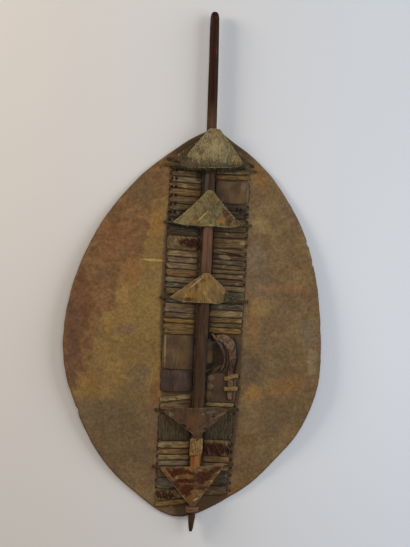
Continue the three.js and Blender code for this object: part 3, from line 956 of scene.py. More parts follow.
def cut_away(piece, cutter_shell):
    """Cuts the shell out of the piece for good."""
    mesh = bpy.data.meshes.new("cutter")
    mesh.from_pydata((cutter_shell.points * MM).tolist(), [], cutter_shell.faces)
    cutter = bpy.data.objects.new("cutter", mesh)
    bpy.context.scene.collection.objects.link(cutter)
    step = piece.modifiers.new("slits", "BOOLEAN")
    step.operation = "DIFFERENCE"
    step.solver = "MANIFOLD"
    step.object = cutter
    bpy.context.view_layer.update()
    finished = piece.evaluated_get(bpy.context.evaluated_depsgraph_get())
    cut_mesh = bpy.data.meshes.new_from_object(finished)
    piece.modifiers.remove(step)
    piece.data = cut_mesh
    bpy.data.objects.remove(cutter)
    cut_mesh.polygons.foreach_set("use_smooth", [True] * len(cut_mesh.polygons))


hide_piece = make_piece("hide_sheet", hide_shell, hide_finishes, ["hide"])
before = len(hide_piece.data.polygons)
cut_away(hide_piece, slit_cutter())
print("faces before and after the slits:", before, len(hide_piece.data.polygons))

# %% [markdown]
# ## Finishes of the thongs and panels
# The thongs come from different skins, so neighbouring bars differ: olive, straw, pinkish, grey.
# One function makes them all from a light and a dark tone. Grain runs along each bar, the cut
# edges hold dust and painted shade, holes painted dark as shade follow the outer slits, and
# everything darkens towards the stick, with dirt where no hand can clean and painted shade from
# the stick. Marks paint shade beside the tabs, a shadow on one panel and highlights on its bumps.
# Panels are smoother, and two finishes still carry hair.

# %% Thong and panel finishes
thong_tones = {
    "brown": ("5f4d34", "3d2f20"),
    "olive": ("61533a", "403524"),
    "pale": ("6b5c44", "4c402e"),
    "ochre": ("72582f", "4f3c21"),
    # shade is a dark tone that also paints the shade on bars beside the second and lowest tabs
    "shade": ("3e352b", "282019"),
    "plum": ("53432f", "35291d"),
    "grey": ("564d3d", "342e25"),
    "pink": ("66543f", "463829"),
    "tan": ("695132", "473520"),
    "straw": ("7a6747", "57472f"),
}
thong_marks_and_shade = [
    # centre, reach, turn, colour, strength
    # holes painted as dark shade
    ((75, 112), (2.6, 5), 0.0, "0f0a07", 0.95),
    ((69, 114), (2.2, 4.5), 0.2, "0f0a07", 0.9),
    ((84, 101), (2, 9), 0.0, "17100b", 0.8),
    # painted shade under the slope of the second tab and left of the stick
    ((-18, 104), (22, 10), 0.5, "1a130d", 0.6),
    ((0, 174), (7, 14), 0.0, "17100b", 0.6),
    # marks on the bars
    ((70, 33), (24, 2.2), -0.18, "2a1a12", 0.9),
    ((50, 28), (10, 4.5), -0.2, "6a5a42", 0.8),
    ((72, -42), (14, 6), 0.0, "3a352a", 0.7),
    # painted shade under the slope of the third tab and under the hem of the second
    ((-30, -42), (20, 5), 0.25, "1c150f", 0.7),
    ((-20, 80), (34, 6), 0.0, "1c150f", 0.5),
]
panel_marks_shadow_and_highlights = [
    # as above
    ((45, -200), (30, 34), 0.0, "3c2e22", 0.6),
    # a painted shadow at the corner of the fold
    ((29, -180), (12, 5), 0.6, "17110c", 0.9),
    # painted highlights on the three bumps
    ((37, -189), (4.5, 5.5), 0.0, "72593f", 0.65),
    ((35.5, -204), (4.5, 5.5), 0.0, "72593f", 0.65),
    ((33.5, -220), (4, 6.5), 0.0, "6c543b", 0.5),
    # marks on the panels
    ((62, -192), (3, 26), 0.0, "2c2019", 0.6),
    ((-48, -136), (1.8, 30), 0.02, "75664a", 0.7),
    ((80, 160), (5, 14), -0.2, "6a5946", 0.5),
]
# holes along the edges of the left column, painted as dark shade
ladder_hole_shade = [(-49.5, 90, 195), (-42, 90, 195)]
ladder_hole_shade_look = (15, 2.4, "0f0a07", 0.95)
panel_tones = {
    "panel": ("4f3d26", "3f2f22"),
    "dark_panel": ("3f3027", "2f231d"),
}
# the middle of the stick, and how far from it dirt and painted shade begin and are full
middle_x = 16.5
dirt_and_shade_from = 27
dark_within = 12


def dirt_and_shade_by_stick(finish):
    """1 close to the stick and 0 out on the bars: where dirt and painted shade from the stick go."""
    distance = finish.math("ABSOLUTE", finish.math("SUBTRACT", finish.axis("X"), middle_x * MM))
    return finish.between(distance, dirt_and_shade_from * MM, dark_within * MM)


def thong_finish(name, light, dark, seed):
    """A narrow thong: grain along the bar, dark and rubbed blots, dusty edges with painted shade, dirt
    and painted shade by the stick, painted shade by the tabs and rows of holes painted as shade.
    """
    thong = Finish(name, specular=0.05)
    streaks = thong.lumps(1.7, stretch=(11, 1, 1), seed=seed, detail=4, bend=0.4)
    blots = thong.lumps(10, stretch=(1.8, 1, 1), seed=seed + 1, detail=4, bend=0.5)
    fine = thong.lumps(1.6, seed=seed + 2)
    colour = thong.two_tones(streaks, dark, light, 0.36, 0.62)
    colour = thong.tinted(colour, blots, 0.5, 0.68, "3d2c22", 0.6)
    colour = thong.tinted(colour, blots, 0.42, 0.26, "96805a", 0.5)
    # dirt and painted shade from the stick
    colour = thong.over(colour, dirt_and_shade_by_stick(thong), "2a2018", 0.4)
    # dust and painted shade along the cut edges, where the bars meet
    colour = thong.edged(colour, 1.7, 0.2, "1c150f", 0.7)
    colour = thong.marked(colour, thong_marks_and_shade, ragged=0.5, grain=4, soft=0.3, seed=90)
    # holes painted as dark shade at the column edges
    colour = thong.hole_shade_rows(colour, edge_hole_shade, *edge_hole_shade_look)
    colour = thong.hole_shade_rows(colour, ladder_hole_shade, *ladder_hole_shade_look)
    return thong.done(colour, 0.72, thong.plus(streaks, fine, 0.35), 0.5)


def panel_finish(name, light, dark, seed):
    """A wide panel: clouds of two tones, pale scuffs, the marks of use with a painted shadow and painted
    highlights, dusty edges with painted shade, and dirt and painted shade by the stick.
    """
    panel = Finish(name, specular=0.08)
    cloud = panel.lumps(26, seed=seed, detail=5, bend=0.5)
    grain = panel.lumps(1.5, seed=seed + 1)
    scuffs = panel.lumps(2.6, stretch=(1, 9, 1), seed=seed + 2, detail=4)
    colour = panel.two_tones(cloud, dark, light)
    colour = panel.tinted(colour, scuffs, 0.55, 0.72, "8a765c", 0.14)
    # dirt and painted shade from the stick
    colour = panel.over(colour, dirt_and_shade_by_stick(panel), "241c15", 0.5)
    colour = panel.marked(colour, panel_marks_shadow_and_highlights, ragged=0.6, grain=6, soft=0.4, seed=seed + 5)
    # dust and painted shade along the cut edges
    colour = panel.edged(colour, 1.8, 0.2, "241b15", 0.7)
    roughness = panel.between(cloud, 1.2, -0.25)
    return panel.done(colour, roughness, panel.plus(grain, scuffs, 0.6), 0.35)


def hairy_finish(name, light, dark, seed, turn=0.0, marks=()):
    """Hide with its hair on; the hair runs along y, turned by an angle, and marks are dark. Dirt and
    painted shade darken it by the stick, and dust and painted shade at its edges.
    """
    hair = Finish(name, specular=0.05)
    strands = hair.lumps(1.3, stretch=(1, 10, 1), seed=seed, turn=turn, detail=4, bend=0.4)
    tufts = hair.lumps(5, stretch=(1, 3.4, 1), seed=seed + 1, turn=turn, bend=0.8)
    colour = hair.two_tones(strands, dark, light, 0.34, 0.66)
    colour = hair.tinted(colour, tufts, 0.52, 0.66, "2a2019", 0.6)
    for number, (centre, reach) in enumerate(marks):
        mark = hair.spot(centre, reach, ragged=0.5, grain=7, soft=0.2, seed=seed + 5 + number)
        streaked = hair.math("MULTIPLY", mark, hair.between(tufts, 0.3, 0.5))
        colour = hair.mix(streaked, colour, hair.two_tones(strands, "281610", "3e2218", 0.3, 0.7))
    # dirt and painted shade from the stick
    colour = hair.over(colour, dirt_and_shade_by_stick(hair), "241c15", 0.6)
    # dust and painted shade along the cut edges
    colour = hair.edged(colour, 1.6, 0.2, "241b15", 0.6)
    return hair.done(colour, 0.66, hair.plus(strands, tufts, 0.6), 0.8)


patch_marks = [((-13, 50), (19, 9)), ((49, -316), (27, 11)), ((-36, -403), (18, 6))]
lace_finishes = {}
for number, (name, (light, dark)) in enumerate(thong_tones.items()):
    lace_finishes[name] = thong_finish("thong_" + name, light, dark, 100 + 3 * number)
for number, (name, (light, dark)) in enumerate(panel_tones.items()):
    lace_finishes[name] = panel_finish(name, light, dark, 140 + 3 * number)
lace_finishes["hairy_panel"] = hairy_finish("hairy_panel", "483d2c", "2d241b", 150)
lace_finishes["patch"] = hairy_finish("patch_hair", "6c5a3c", "4b3d2a", 160, turn=0.5, marks=patch_marks)
print(len(lace_finishes), "finishes for the lacing")

# %% [markdown]
# ## Thongs, panels and patches
# Each thong is one strip from its first tail to its last, swept along the plan. Bars crown a
# little between their slits and pinch where they enter them. A panel is the same strip, very wide,
# with a fold by its outer edge, shallow dents, and on one of them three bumps beside the stick.

# %% Thongs, panels and patches
tail_length = 12
tail_narrowing = 0.8
# x, y and reach both ways of each bump; x, width and height of each fold
panel_bumps = [(40, -191, 3.4, 4.2), (38.5, -205, 3.4, 4.4), (37, -222, 3.2, 5)]
fold_lines = [(-47.5, 1.3, 0.9), (84.5, 1.2, 0.8)]
panel_dents = 0.45
bump_rise = 1.6
clot_height = 0.35
bar_unevenness = 0.5


def thong_route(bars, inward):
    """Stations along a thong, with the number of the bar as the last value."""
    first_end, _, first_width, _ = bars[0]
    start = first_end[0] + inward * tail_length
    stations = [(start, first_end[1], front_layer, tail_narrowing * slit_width(first_width), 0)]
    for number, (outer_end, inner_end, width, _) in enumerate(bars):
        (outer, outer_y), (inner, inner_y) = outer_end, inner_end
        narrow = slit_width(width)
        rise = (inner_y - outer_y) / abs(inner - outer) * shoulder
        crown = back_layer + lace_crown
        stations += [
            (outer, outer_y, front_layer, narrow, number),
            (outer, outer_y, back_layer, narrow, number),
            (outer + inward * shoulder, outer_y + rise, crown, width, number),
            (inner - inward * shoulder, inner_y - rise, crown, width, number),
            (inner, inner_y, back_layer, narrow, number),
            (inner, inner_y, front_layer, narrow, number),
        ]
    _, last_end, last_width, _ = bars[-1]
    stations.append((last_end[0] - inward * tail_length, last_end[1], front_layer,
                     tail_narrowing * slit_width(last_width), len(bars) - 1))
    return [(*station[:4], 0, inward, 0, station[4]) for station in stations]


def panel_lumps(x, y):
    """Dents, folds and bumps of the wide panels, in millimetres of extra height."""
    height = panel_dents * wander_over(x, y, 19, 31)
    for fold_x, width, rise in fold_lines:
        height = height + rise * np.exp(-(((x - fold_x) / width) ** 2))
    for bump_x, bump_y, across, up in panel_bumps:
        away = ((x - bump_x) / across) ** 2
        height = height + bump_rise * np.exp(-away - ((y - bump_y) / up) ** 2)
    return height


def patch_lumps(x, y):
    """Clotted hair of the patches and hairy panels, in ridges that run up the shield."""
    return clot_height * wander_over(x / 2.2, y / 9, 1, 37)


def bar_lumps(x, y):
    """Slow unevenness of narrow bars."""
    return bar_unevenness * wander_over(x / 24, y / 2.6, 1, 41)


surfaces = {}
lace_forms = {"lace": bar_lumps, "panel": panel_lumps, "patch": patch_lumps}
bar_columns = 12
wide_bar = 22
column_width = 1.5
for number, (name, (inward, bars)) in enumerate(plan.items()):
    kind = name.split("_")[0]
    route = round_corners(thong_route(bars, inward), radius=2.2, spacing=2.4)
    widest = max(width for _, _, width, _ in bars)
    columns = bar_columns if widest < wide_bar else int(widest / column_width)
    curl = -0.1 if kind == "lace" else 0.25
    shell = strip(route, lace_thickness, columns, ragged=0.8, curl=curl, relief=0.2,
                  lumps=lace_forms[kind], seed=50 + number)
    names = sorted(set(finish for *_, finish in bars))
    per_row = 2 * (columns + 1)
    rows = len(route) - 1
    bar_of_row = np.round(route[:-1, 7]).astype(int)
    shell.finish[: rows * per_row] = [
        names.index(bars[bar][3]) for bar in bar_of_row for _ in range(per_row)
    ]
    surfaces[name] = shell
    piece_name = name.replace("lace", "thong") + "_piece"
    finishes = [lace_finishes[finish] for finish in names]
    make_piece(piece_name, shell, finishes, [name])
fold_route = [
    (24, -187, lace_top - 0.5, 5, -0.55, 0.83, 0), (38, -178, lace_top + 1.5, 7, -0.55, 0.83, 0),
    (50, -169, lace_top + 2, 7, -0.6, 0.8, 0), (58, -166, lace_top, 5, -0.3, 0.95, 0),
]
fold_route = round_corners(fold_route, radius=4, spacing=2)
fold_shell = strip(fold_route, thickness=2, columns=10, ragged=0.6, curl=-0.4, relief=0.2, seed=49)
make_piece("panel_fold", fold_shell, [lace_finishes["panel"]])
print("lacing done:", len(plan), "pieces")

# %% [markdown]
# ## Finishes of the tabs
# The five tabs differ boldly: khaki hair on the top one, then a grey-olive one with orange stains
# and a scratch, an ochre one, a dark plum one with holes and an ochre one with dark red markings. A
# plain dark tab lies under the top one. Each has a base in two tones and a list of marks, with a
# cut edge in its own tone and dark straps. Some marks are painted light and shade: shade along the
# hem of the top tab and its shadow on the tab beneath, highlights along the slopes of the second
# and third tabs and by the tip of the fifth, and the holes of the fourth as dark shade. The pale
# cut edges are worn and partly a painted highlight.

# %% Tab finishes
tab_paints = {
    # light, dark, turn of the hair, edge tone and strength, marks as for the hide
    "top_under_tab": ("4d3b28", "35281b", 0.0, "241b12", 0.5, [
        # the painted shadow of the top tab's slope
        ((-12, 222), (36, 4), 0.94, "0f0b08", 0.85),
    ]),
    "tab_1": ("827251", "655a3e", 0.05, "9a8a63", 0.4, [
        ((24, 222), (20, 14), 0.0, "897851", 0.5),
        ((66, 202), (7, 7), 0.0, "875d2e", 0.8),
        # the last five: a dark fringe and painted shade along the hem and in the lower left corner
        ((28, 246), (9, 8), 0.0, "816944", 0.6),
        ((-30, 191), (16, 12), 0.3, "1f1b12", 1.0),
        ((-4, 186), (30, 6), -0.1, "241f15", 0.95),
        ((20, 189), (62, 7), 0.03, "29251a", 0.95),
        ((-14, 193), (26, 7), 0.0, "473826", 0.9),
        ((34, 190), (22, 4), 0.0, "3b3222", 0.7),
    ]),
    "tab_2": ("6e6140", "51472e", 0.4, "9b8a60", 0.35, [
        ((28, 131), (7, 5), 0.3, "6e4c27", 0.7),
        ((-9, 88), (9, 4), 0.2, "744b20", 0.75),
        ((-18, 96), (14, 9), 0.6, "7a6a48", 0.6),
        ((43, 93), (11, 6), 0.4, "74532b", 0.85),
        ((68, 99), (14, 5), -0.9, "4b4833", 0.8),
        ((48, 106), (5.5, 10), 0.2, "3d1a12", 0.95),
        ((56, 93), (5, 10), -0.45, "391a12", 0.95),
        ((68, 88), (8, 4), 0.0, "674a2b", 0.7),
        ((8.5, 99), (12.5, 1.1), 0.8, "908053", 1.0),
        ((-36, 85), (6, 1.8), -0.2, "8d815d", 0.9),
        ((22, 84), (8, 1.5), 0.0, "7d6c45", 0.8),
        # the next one is a painted highlight along the right slope
        ((41, 126), (14, 1.2), -1.0, "9f8d6b", 0.9),
    ]),
    "tab_3": ("6f5734", "584326", 0.2, "856f4e", 0.35, [
        ((-4, -42), (14, 5), 0.1, "704f20", 0.7),
        ((-11, -50), (9, 3.5), 0.0, "271e12", 0.85),
        ((20, -25), (14, 9), 0.6, "70562e", 0.6),
        ((18, -37), (3, 4), 0.5, "84734f", 0.6),
        ((9, -31), (3, 2), 0.4, "7c6a46", 0.5),
        ((44, -46), (9, 6), 0.0, "56442b", 0.6),
        ((55, -46), (6, 9), 0.0, "433c2d", 0.8),
        ((-32, -50), (12, 4), 0.0, "473825", 0.8),
        # the last two are painted highlights along the slopes
        ((2, -20), (18, 1.3), 0.74, "928060", 0.7),
        ((39, -21), (13, 1.0), -0.95, "7c6a4e", 0.5),
    ]),
    "tab_4": ("4e3929", "3b2b1e", 0.3, "554837", 0.4, [
        ((10, -268), (15, 12), 0.3, "503622", 0.65),
        ((39, -249), (9, 2.2), 0.1, "49483b", 0.85),
        ((-31, -256), (6, 2.2), -0.5, "625b45", 0.7),
        ((-18, -258), (12, 5), 0.0, "433627", 0.6),
        # these five are holes and the shade by the point, painted as dark shade
        ((-8, -275), (5.5, 2.6), -0.2, "180f09", 0.95),
        ((3, -280), (4, 1.2), 0.1, "22170e", 0.9),
        ((30, -279), (4.4, 2.2), 0.5, "1b120a", 0.95),
        ((45, -257), (4.5, 2), 0.2, "22130e", 0.9),
        ((25, -289), (3.5, 2), -0.9, "120c08", 0.95),
        ((14, -296), (5, 5), 0.0, "644a32", 0.7),
        ((56, -254), (12, 2), 0.5, "644f35", 0.6),
    ]),
    "tab_5": ("694b2b", "44301d", 0.9, "785a40", 0.5, [
        ((-14, -358), (17, 5.5), 0.2, "2a0b07", 1.0),
        ((6, -357), (12, 3.2), -0.3, "2c0c07", 0.95),
        ((-23, -366), (7, 4.5), 0.6, "2d0e08", 0.9),
        ((31, -365), (14, 11), 0.3, "280a06", 1.0),
        ((50, -353), (14, 4.5), 0.5, "270e0a", 0.95),
        ((-2, -373), (23, 4), 0.1, "2c0c07", 1.0),
        ((-16, -380), (7, 5), -0.6, "2d0e07", 0.9),
        ((2, -389), (13, 9), 0.5, "2c0c07", 1.0),
        ((12, -381), (4, 3), 0.0, "352009", 0.9),
        ((31, -384), (10, 2.6), 0.1, "2e0e08", 0.9),
        ((14, -402), (6, 5), 0.0, "694725", 0.6),
        # the next one is a painted highlight by the tip
        ((20, -404), (5, 1.5), 0.5, "9a7d5a", 0.8),
        ((0, -406), (1.6, 7), 0.6, "8c7157", 0.7),
        ((-30, -365), (1.4, 16), 0.75, "765634", 0.7),
    ]),
}


large_mark = 4.5


def tab_finish(name, paint, seed):
    """The coat of a tab; its marks are streaked by the same hair, and large ones are more ragged."""
    light, dark, turn, edge_tone, edge_strength, marks = paint
    tab = Finish(name + "_coat", specular=0.05)
    strands = tab.lumps(1.6, stretch=(1, 9, 1), seed=seed, turn=turn, detail=4, bend=0.4)
    clouds = tab.lumps(11, stretch=(1, 1.7, 1), seed=seed + 1, turn=turn, detail=4, bend=0.6)
    colour = tab.two_tones(strands, dark, light, 0.34, 0.66)
    colour = tab.tinted(colour, clouds, 0.48, 0.64, "2c2318", 0.5)
    colour = tab.tinted(colour, clouds, 0.42, 0.3, "948662", 0.35)
    for number, (centre, reach, mark_turn, mark_paint, strength) in enumerate(marks):
        ragged, grain = (0.9, 5) if min(reach) > large_mark else (0.5, 4)
        mark = tab.spot(centre, reach, mark_turn, ragged, grain, 0.3, seed + 7 + number)
        streaks = tab.between(strands, 0.2, 0.8)
        rubbed = tab.mix(0.25, tone(mark_paint), tone(light))
        streaked = tab.mix(streaks, tone(mark_paint), rubbed)
        colour = tab.mix(tab.math("MULTIPLY", mark, strength), colour, streaked)
    # cut edges in their own tone; the pale ones are worn and partly a painted highlight
    colour = tab.edged(colour, 1.5, 0.5, edge_tone, edge_strength)
    for corner, inward in ((tabs[name]["left"], 2), (tabs[name]["right"], -2)):
        strap = tab.between(tab.axis("X"), (corner[0] + inward) * MM, (corner[0] - inward) * MM)
        colour = tab.over(colour, strap, "2e2318", 0.85)
    return tab.done(colour, 0.66, tab.plus(strands, clouds, 0.8), 0.6)


tab_finishes = {name: tab_finish(name, paint, 200 + 20 * number)
                for number, (name, paint) in enumerate(tab_paints.items())}
print(len(tab_finishes), "tab finishes")

# %% [markdown]
# ## The tabs
# A tab is a strip whose width goes from nothing at one corner to full height at the ridge and back
# again, so the same sweep makes it. Its points sit on two tangents and an arc round the stick.

# %% Build the tabs
tab_steps = 70


def tab_route(tab):
    """Stations from the tail of the left strap, over the stick, to the tail of the right one."""
    left, apex, right = tab["left"], tab["apex"], tab["right"]
    layer, plateau = tab.get("layer", 0), tab.get("plateau", 0)
    cut_left, cut_right = tab.get("blunt", (3, 3))
    foot_left, foot_right = tab.get("feet", (left[0], right[0]))
    middle = float(stick_centre(apex[1]))
    lift = (layer + 0.5) * (tab_thickness + layer_gap)
    reach = stick_radius + tab_play + lift
    foot_height = lace_top + layer_gap + lift
    upward = 1 if apex[1] > left[1] else -1
    rise = stick_height - foot_height

    def tangent(foot_x):
        """How far out and how high a side leaves the arc that runs over the stick."""
        run = abs(middle - foot_x)
        angle = math.atan2(rise, run) + math.asin(reach / math.hypot(run, rise))
        return reach * math.sin(angle), stick_height + reach * math.cos(angle)

    def section(x):
        """The height of the tab above the ground, its hem and its upper edge, at x."""
        foot_x, corner, cut, flat = (
            (foot_left, left, cut_left, 0) if x < middle else (foot_right, right, cut_right, plateau))
        side_reach, tangent_z = tangent(foot_x)
        away = abs(x - middle)
        if away < side_reach:
            z = stick_height + math.sqrt(reach**2 - away**2)
        else:
            share = (abs(foot_x - middle) - away) / (abs(foot_x - middle) - side_reach)
            z = foot_height + (tangent_z - foot_height) * share
        climb = (abs(corner[0] - middle) - away) / (abs(corner[0] - middle) - side_reach)
        climb = min(1, max(0, climb))
        base_level = left[1] + (right[1] - left[1]) * (x - left[0]) / (right[0] - left[0])
        hem = base_level - tab["base"] * min(1, 3 * climb)
        rounded = min(1, climb / (1 - flat)) ** tab.get("bulge", 1)
        edge = corner[1] + upward * cut + (apex[1] - corner[1] - upward * cut) * rounded
        return z, hem, edge

    stations = []
    for x in np.linspace(left[0], right[0], tab_steps):
        z, hem, edge = section(x)
        stations.append((x, (hem + edge) / 2, z, abs(edge - hem)))
    (slit_left, slit_left_y), (slit_right, slit_right_y) = tab_slits(tab)
    straps = []
    for slit_x, slit_y, foot_x, corner_x, side in (
            (slit_left, slit_left_y, foot_left, left[0], -1),
            (slit_right, slit_right_y, foot_right, right[0], 1)):
        strap = [(slit_x + side * tab_tail, slit_y, front_layer, 0.7 * corner_width),
                 (slit_x, slit_y, front_layer, corner_width),
                 (slit_x, slit_y, foot_height, corner_width)]
        if foot_x != corner_x:
            strap.append((foot_x, slit_y, foot_height, corner_width))
        straps.append(strap)
    stations = straps[0] + stations + straps[1][::-1]
    return [(*station, 0, 1, 0) for station in stations]


def tab_lumps(seed):
    """A height that ripples a tab upwards, never down on the stick."""
    def lumps(x, y):
        """Slow ripples with a finer unevenness on them."""
        slow = wander_over(x, y, 26, seed, seed * 10.0)
        fine = wander_over(x, y, 5, seed + 1, seed * 10.0)
        return np.maximum(0, 0.9 * slow + 0.3) + 0.18 * fine
    return lumps


for number, (name, tab) in enumerate(tabs.items()):
    route = round_corners(tab_route(tab), radius=2.0, spacing=1.9)
    shell = strip(route, tab_thickness, columns=34, ragged=0.7, curl=0.5, relief=0.15,
                  lumps=tab_lumps(70 + number), seed=80 + number)
    surfaces[name] = shell
    slot = "dark_hide" if name == "top_under_tab" else "tab_hide"
    make_piece(name + "_piece", shell, [tab_finishes[name]], [name])
print("tabs done:", len(tabs))

# %% [markdown]
# ## The stick
# The stick is a straight-grained branch, shaved round and polished by hands: nearly black on its
# long handle, brown and rubbed paler between the upper tabs, and bare orange wood between the
# sleeve and the lowest tab. Streaks of grain carry all of this, and soft spots say where it changes.
# Soft spots also paint light and shade on it: the shadow of the top tab, a grey sheen on its upper
# left side and a highlight streak between the second and third tabs.

# %% Finish of the stick
def stick_finish():
    """Shaved wood: grain along it, a black handle, rubbed and deeper-toned lengths, a bare one, and
    painted light: a tab's shadow, a grey sheen and a highlight streak.
    """
    wood = Finish("stick_wood", specular=0.03)
    grain = wood.lumps(1.4, stretch=(1, 30, 1), seed=301, detail=5, bend=0.3)
    bands = wood.lumps(7, stretch=(1, 9, 1), seed=302, detail=4, bend=0.4)
    fine = wood.lumps(0.7, stretch=(1, 12, 1), seed=303)
    colour = wood.two_tones(grain, "2b1f15", "423023")
    colour = wood.mix(wood.between(bands, 0.5, 0.66), colour, tone("4b3526"))
    handle = wood.between(wood.axis("Y"), 258 * MM, 315 * MM)
    colour = wood.mix(handle, colour, wood.two_tones(grain, "1d0f08", "2b160d"))
    # a painted grey sheen on the upper left side
    painted_sheen_on_flank = wood.spot((11, 165), (5, 32), ragged=0.3, grain=12, seed=309)
    foot = wood.between(wood.axis("Y"), -418 * MM, -432 * MM)
    colour = wood.mix(foot, colour, wood.two_tones(grain, "291d15", "3c2c1f", 0.4, 0.6))
    upper = wood.spot((18, 45), (30, 48), ragged=0.2, grain=20, seed=307)
    colour = wood.mix(wood.math("MULTIPLY", upper, 0.35), colour,
                      wood.two_tones(grain, "54392b", "6e4e3a", 0.4, 0.6))
    # a painted shadow of the top tab
    under_tab = wood.spot((18, 170), (30, 26), ragged=0.2, grain=12, seed=308)
    colour = wood.over(colour, under_tab, "231812", 0.45)
    colour = wood.over(colour, painted_sheen_on_flank, "3f3c38", 0.6)
    # a painted highlight streak between the second and third tabs
    painted_highlight_streak = wood.spot((15, 45), (3.2, 62), ragged=0.3, grain=9, seed=310)
    colour = wood.over(colour, painted_highlight_streak, "665041", 0.3)
    middle = wood.spot((18, -130), (30, 125), ragged=0.2, grain=20, seed=304)
    colour = wood.over(colour, middle, "32241c", 0.45)
    bare = wood.spot((16, -336), (30, 18), ragged=0.35, grain=5, seed=305)
    orange = wood.two_tones(grain, "603a1f", "87542d")
    colour = wood.mix(wood.math("MULTIPLY", bare, 0.9), colour, orange)
    worn = wood.between(wood.lumps(5, stretch=(1, 4, 1), seed=306, detail=4), 0.62, 0.7)
    colour = wood.over(colour, worn, "60402d", 0.3)
    gloss = wood.between(bands, 0.2, 1.3)
    roughness = wood.math("ADD", wood.math("MULTIPLY", gloss, 0.2), 0.45)
    return wood.done(colour, roughness, wood.plus(grain, fine, 0.5), 0.35)


stick_material = stick_finish()
print("stick finish of", len(stick_material.node_tree.nodes), "nodes")

# %% [markdown]
# ## The shape of the stick
# The maker shaved it with a knife: thick in the middle, thinner at the foot, blunt at the top. A
# lathe would leave it too true, so a profile is swept along the bow of the stick, and long shallow
# facets and fibres then take it out of round.

# %% Shape of the stick
stick_sides = 44
stick_rows = 300
stick_allowance = 0.15
facet_depth = 0.3
fibre_depth = 0.13
shaved_off = 0.1
# distance from the foot, and share of the full radius
stick_profile = [(0, 0), (1.5, 0.28), (7, 0.46), (26, 0.72), (60, 0.93), (105, 1), (450, 1),
                 (570, 1.02), (690, 1.02), (790, 1), (870, 0.96), (905, 0.92), (918, 0.9),
                 (926, 0.74), (929.4, 0.4), (930, 0)]


def make_stick_shell():
    """The stick from its foot to the top of its handle."""
    even_rows = np.linspace(1.5, stick_length - 0.6, stick_rows)
    rows_at_ends = np.array([3, 5, 918, 923, 926.5, 928.5])
    along = np.unique(np.concatenate([even_rows, rows_at_ends]))
    from_foot, shares = np.array(stick_profile).T
    radius = np.interp(along, from_foot, shares) * (stick_radius - stick_allowance)
    y = along - stick_length / 2
    turn = np.arange(stick_sides) * 2 * math.pi / stick_sides
    turned, rows = np.meshgrid(turn, y)
    facets = wander_over(3 * np.cos(turned), rows / 45, 1.6, 90, 3 * np.sin(turned))
    fibres = wander_over(9 * np.cos(turned), rows / 60, 1, 91, 9 * np.sin(turned))
    shave = facets * facet_depth + fibres * fibre_depth - shaved_off
    r = radius[:, None] + shave * np.minimum(1, radius[:, None] / 6)
    x = stick_centre(rows) + r * np.cos(turned)
    z = stick_height + r * np.sin(turned)
    points = np.stack([x, rows, z], axis=2).reshape(-1, 3)
    faces = tube_faces(len(y), stick_sides, turned=True)
    faces.append(tuple(range(stick_sides)))
    faces.append(tuple(range(len(points) - stick_sides, len(points)))[::-1])
    return Shell(points, faces)


make_piece("carrying_stick", make_stick_shell(), [stick_material], ["stick"])
print("stick of", stick_length.round(1), "mm")

# %% [markdown]
# ## Hand loop and ties
# The loop is hide folded on itself and twisted, so it reads as a few dark strands side by side,
# with short streaks and near-black edges, dark with use and painted shade between the strands. The
# ties, the sleeve and the knot are paler, newer hide.

# %% Loop and tie finishes
def loop_finish(name, light, dark, blot, seed):
    """Twisted hide worn smooth: short streaks, blots of one tone and near-black edges, dark with use and
    painted shade.
    """
    loop = Finish(name, specular=0.08)
    streaks = loop.lumps(3.2, stretch=(1, 2.6, 1), seed=seed, detail=4, bend=0.8)
    fine = loop.lumps(1.3, seed=seed + 1)
    colour = loop.two_tones(streaks, dark, light, 0.36, 0.62)
    colour = loop.mix(loop.between(loop.lumps(9, seed=seed + 2), 0.52, 0.64), colour, tone(blot))
    # near-black edges: dark with use and painted shade between the strands
    colour = loop.edged(colour, 3.2, 0.6, "140e0b", 0.9)
    return loop.done(colour, 0.6, loop.plus(streaks, fine, 0.4), 0.7)


def pale_finish(name, light, dark, stretch, seed, blot):
    """Newer, paler hide: streaks that run as stretch says, blots of one tone and brown edges."""
    pale = Finish(name, specular=0.06)
    streaks = pale.lumps(1.5, stretch=stretch, seed=seed, detail=4, bend=0.5)
    blots = pale.lumps(6, seed=seed + 1)
    colour = pale.two_tones(streaks, dark, light, 0.36, 0.62)
    colour = pale.mix(pale.between(blots, 0.52, 0.68), colour, tone(blot))
    colour = pale.edged(colour, 1.2, 0.2, "3c2c1c", 0.5)
    return pale.done(colour, 0.7, streaks, 0.6)


loop_materials = [
    loop_finish("loop_strap", "5a4636", "32261d", "63483c", 320),
    loop_finish("loop_strand", "5c4438", "38281f", "4c473c", 324),
    loop_finish("loop_edge", "4e463a", "302a23", "423b30", 328),
]
tie_material = pale_finish("tie_thong", "745f3b", "523d24", (6, 1, 1), 330, "68442a")
sleeve_material = pale_finish("sleeve_hair", "82663f", "4e381f", (1, 6, 1), 335, "5c4022")
knot_material = pale_finish("knot_thong", "664a36", "3c281e", (6, 1, 1), 340, "5c3a2c")
print("finishes for the loop, the ties, the sleeve and the knot are ready")

# %% [markdown]
# ## Building the loop and the ties
# A twisted strap could be three loose cords, but they would cross each other. Here each strand is
# one strip, and its upper side is lifted into rolls by a height that moves sideways with the
# twist. The ties are plain thongs that step over the loop and down on both sides of it.

# %% Build the loop and the ties
def rolls(count, twist_length, depth):
    """A height that parts a strip into rolls; the grooves wander as the strip twists."""
    def lumps_along(along, share):
        """The height at a place along the strip and a share of its half width."""
        phase = np.sin(along / twist_length * 2 * math.pi) * 0.6
        return depth * (np.abs(np.cos(math.pi * count / 2 * (share + 0.25 * phase))) ** 0.7 - 0.5)
    return lumps_along


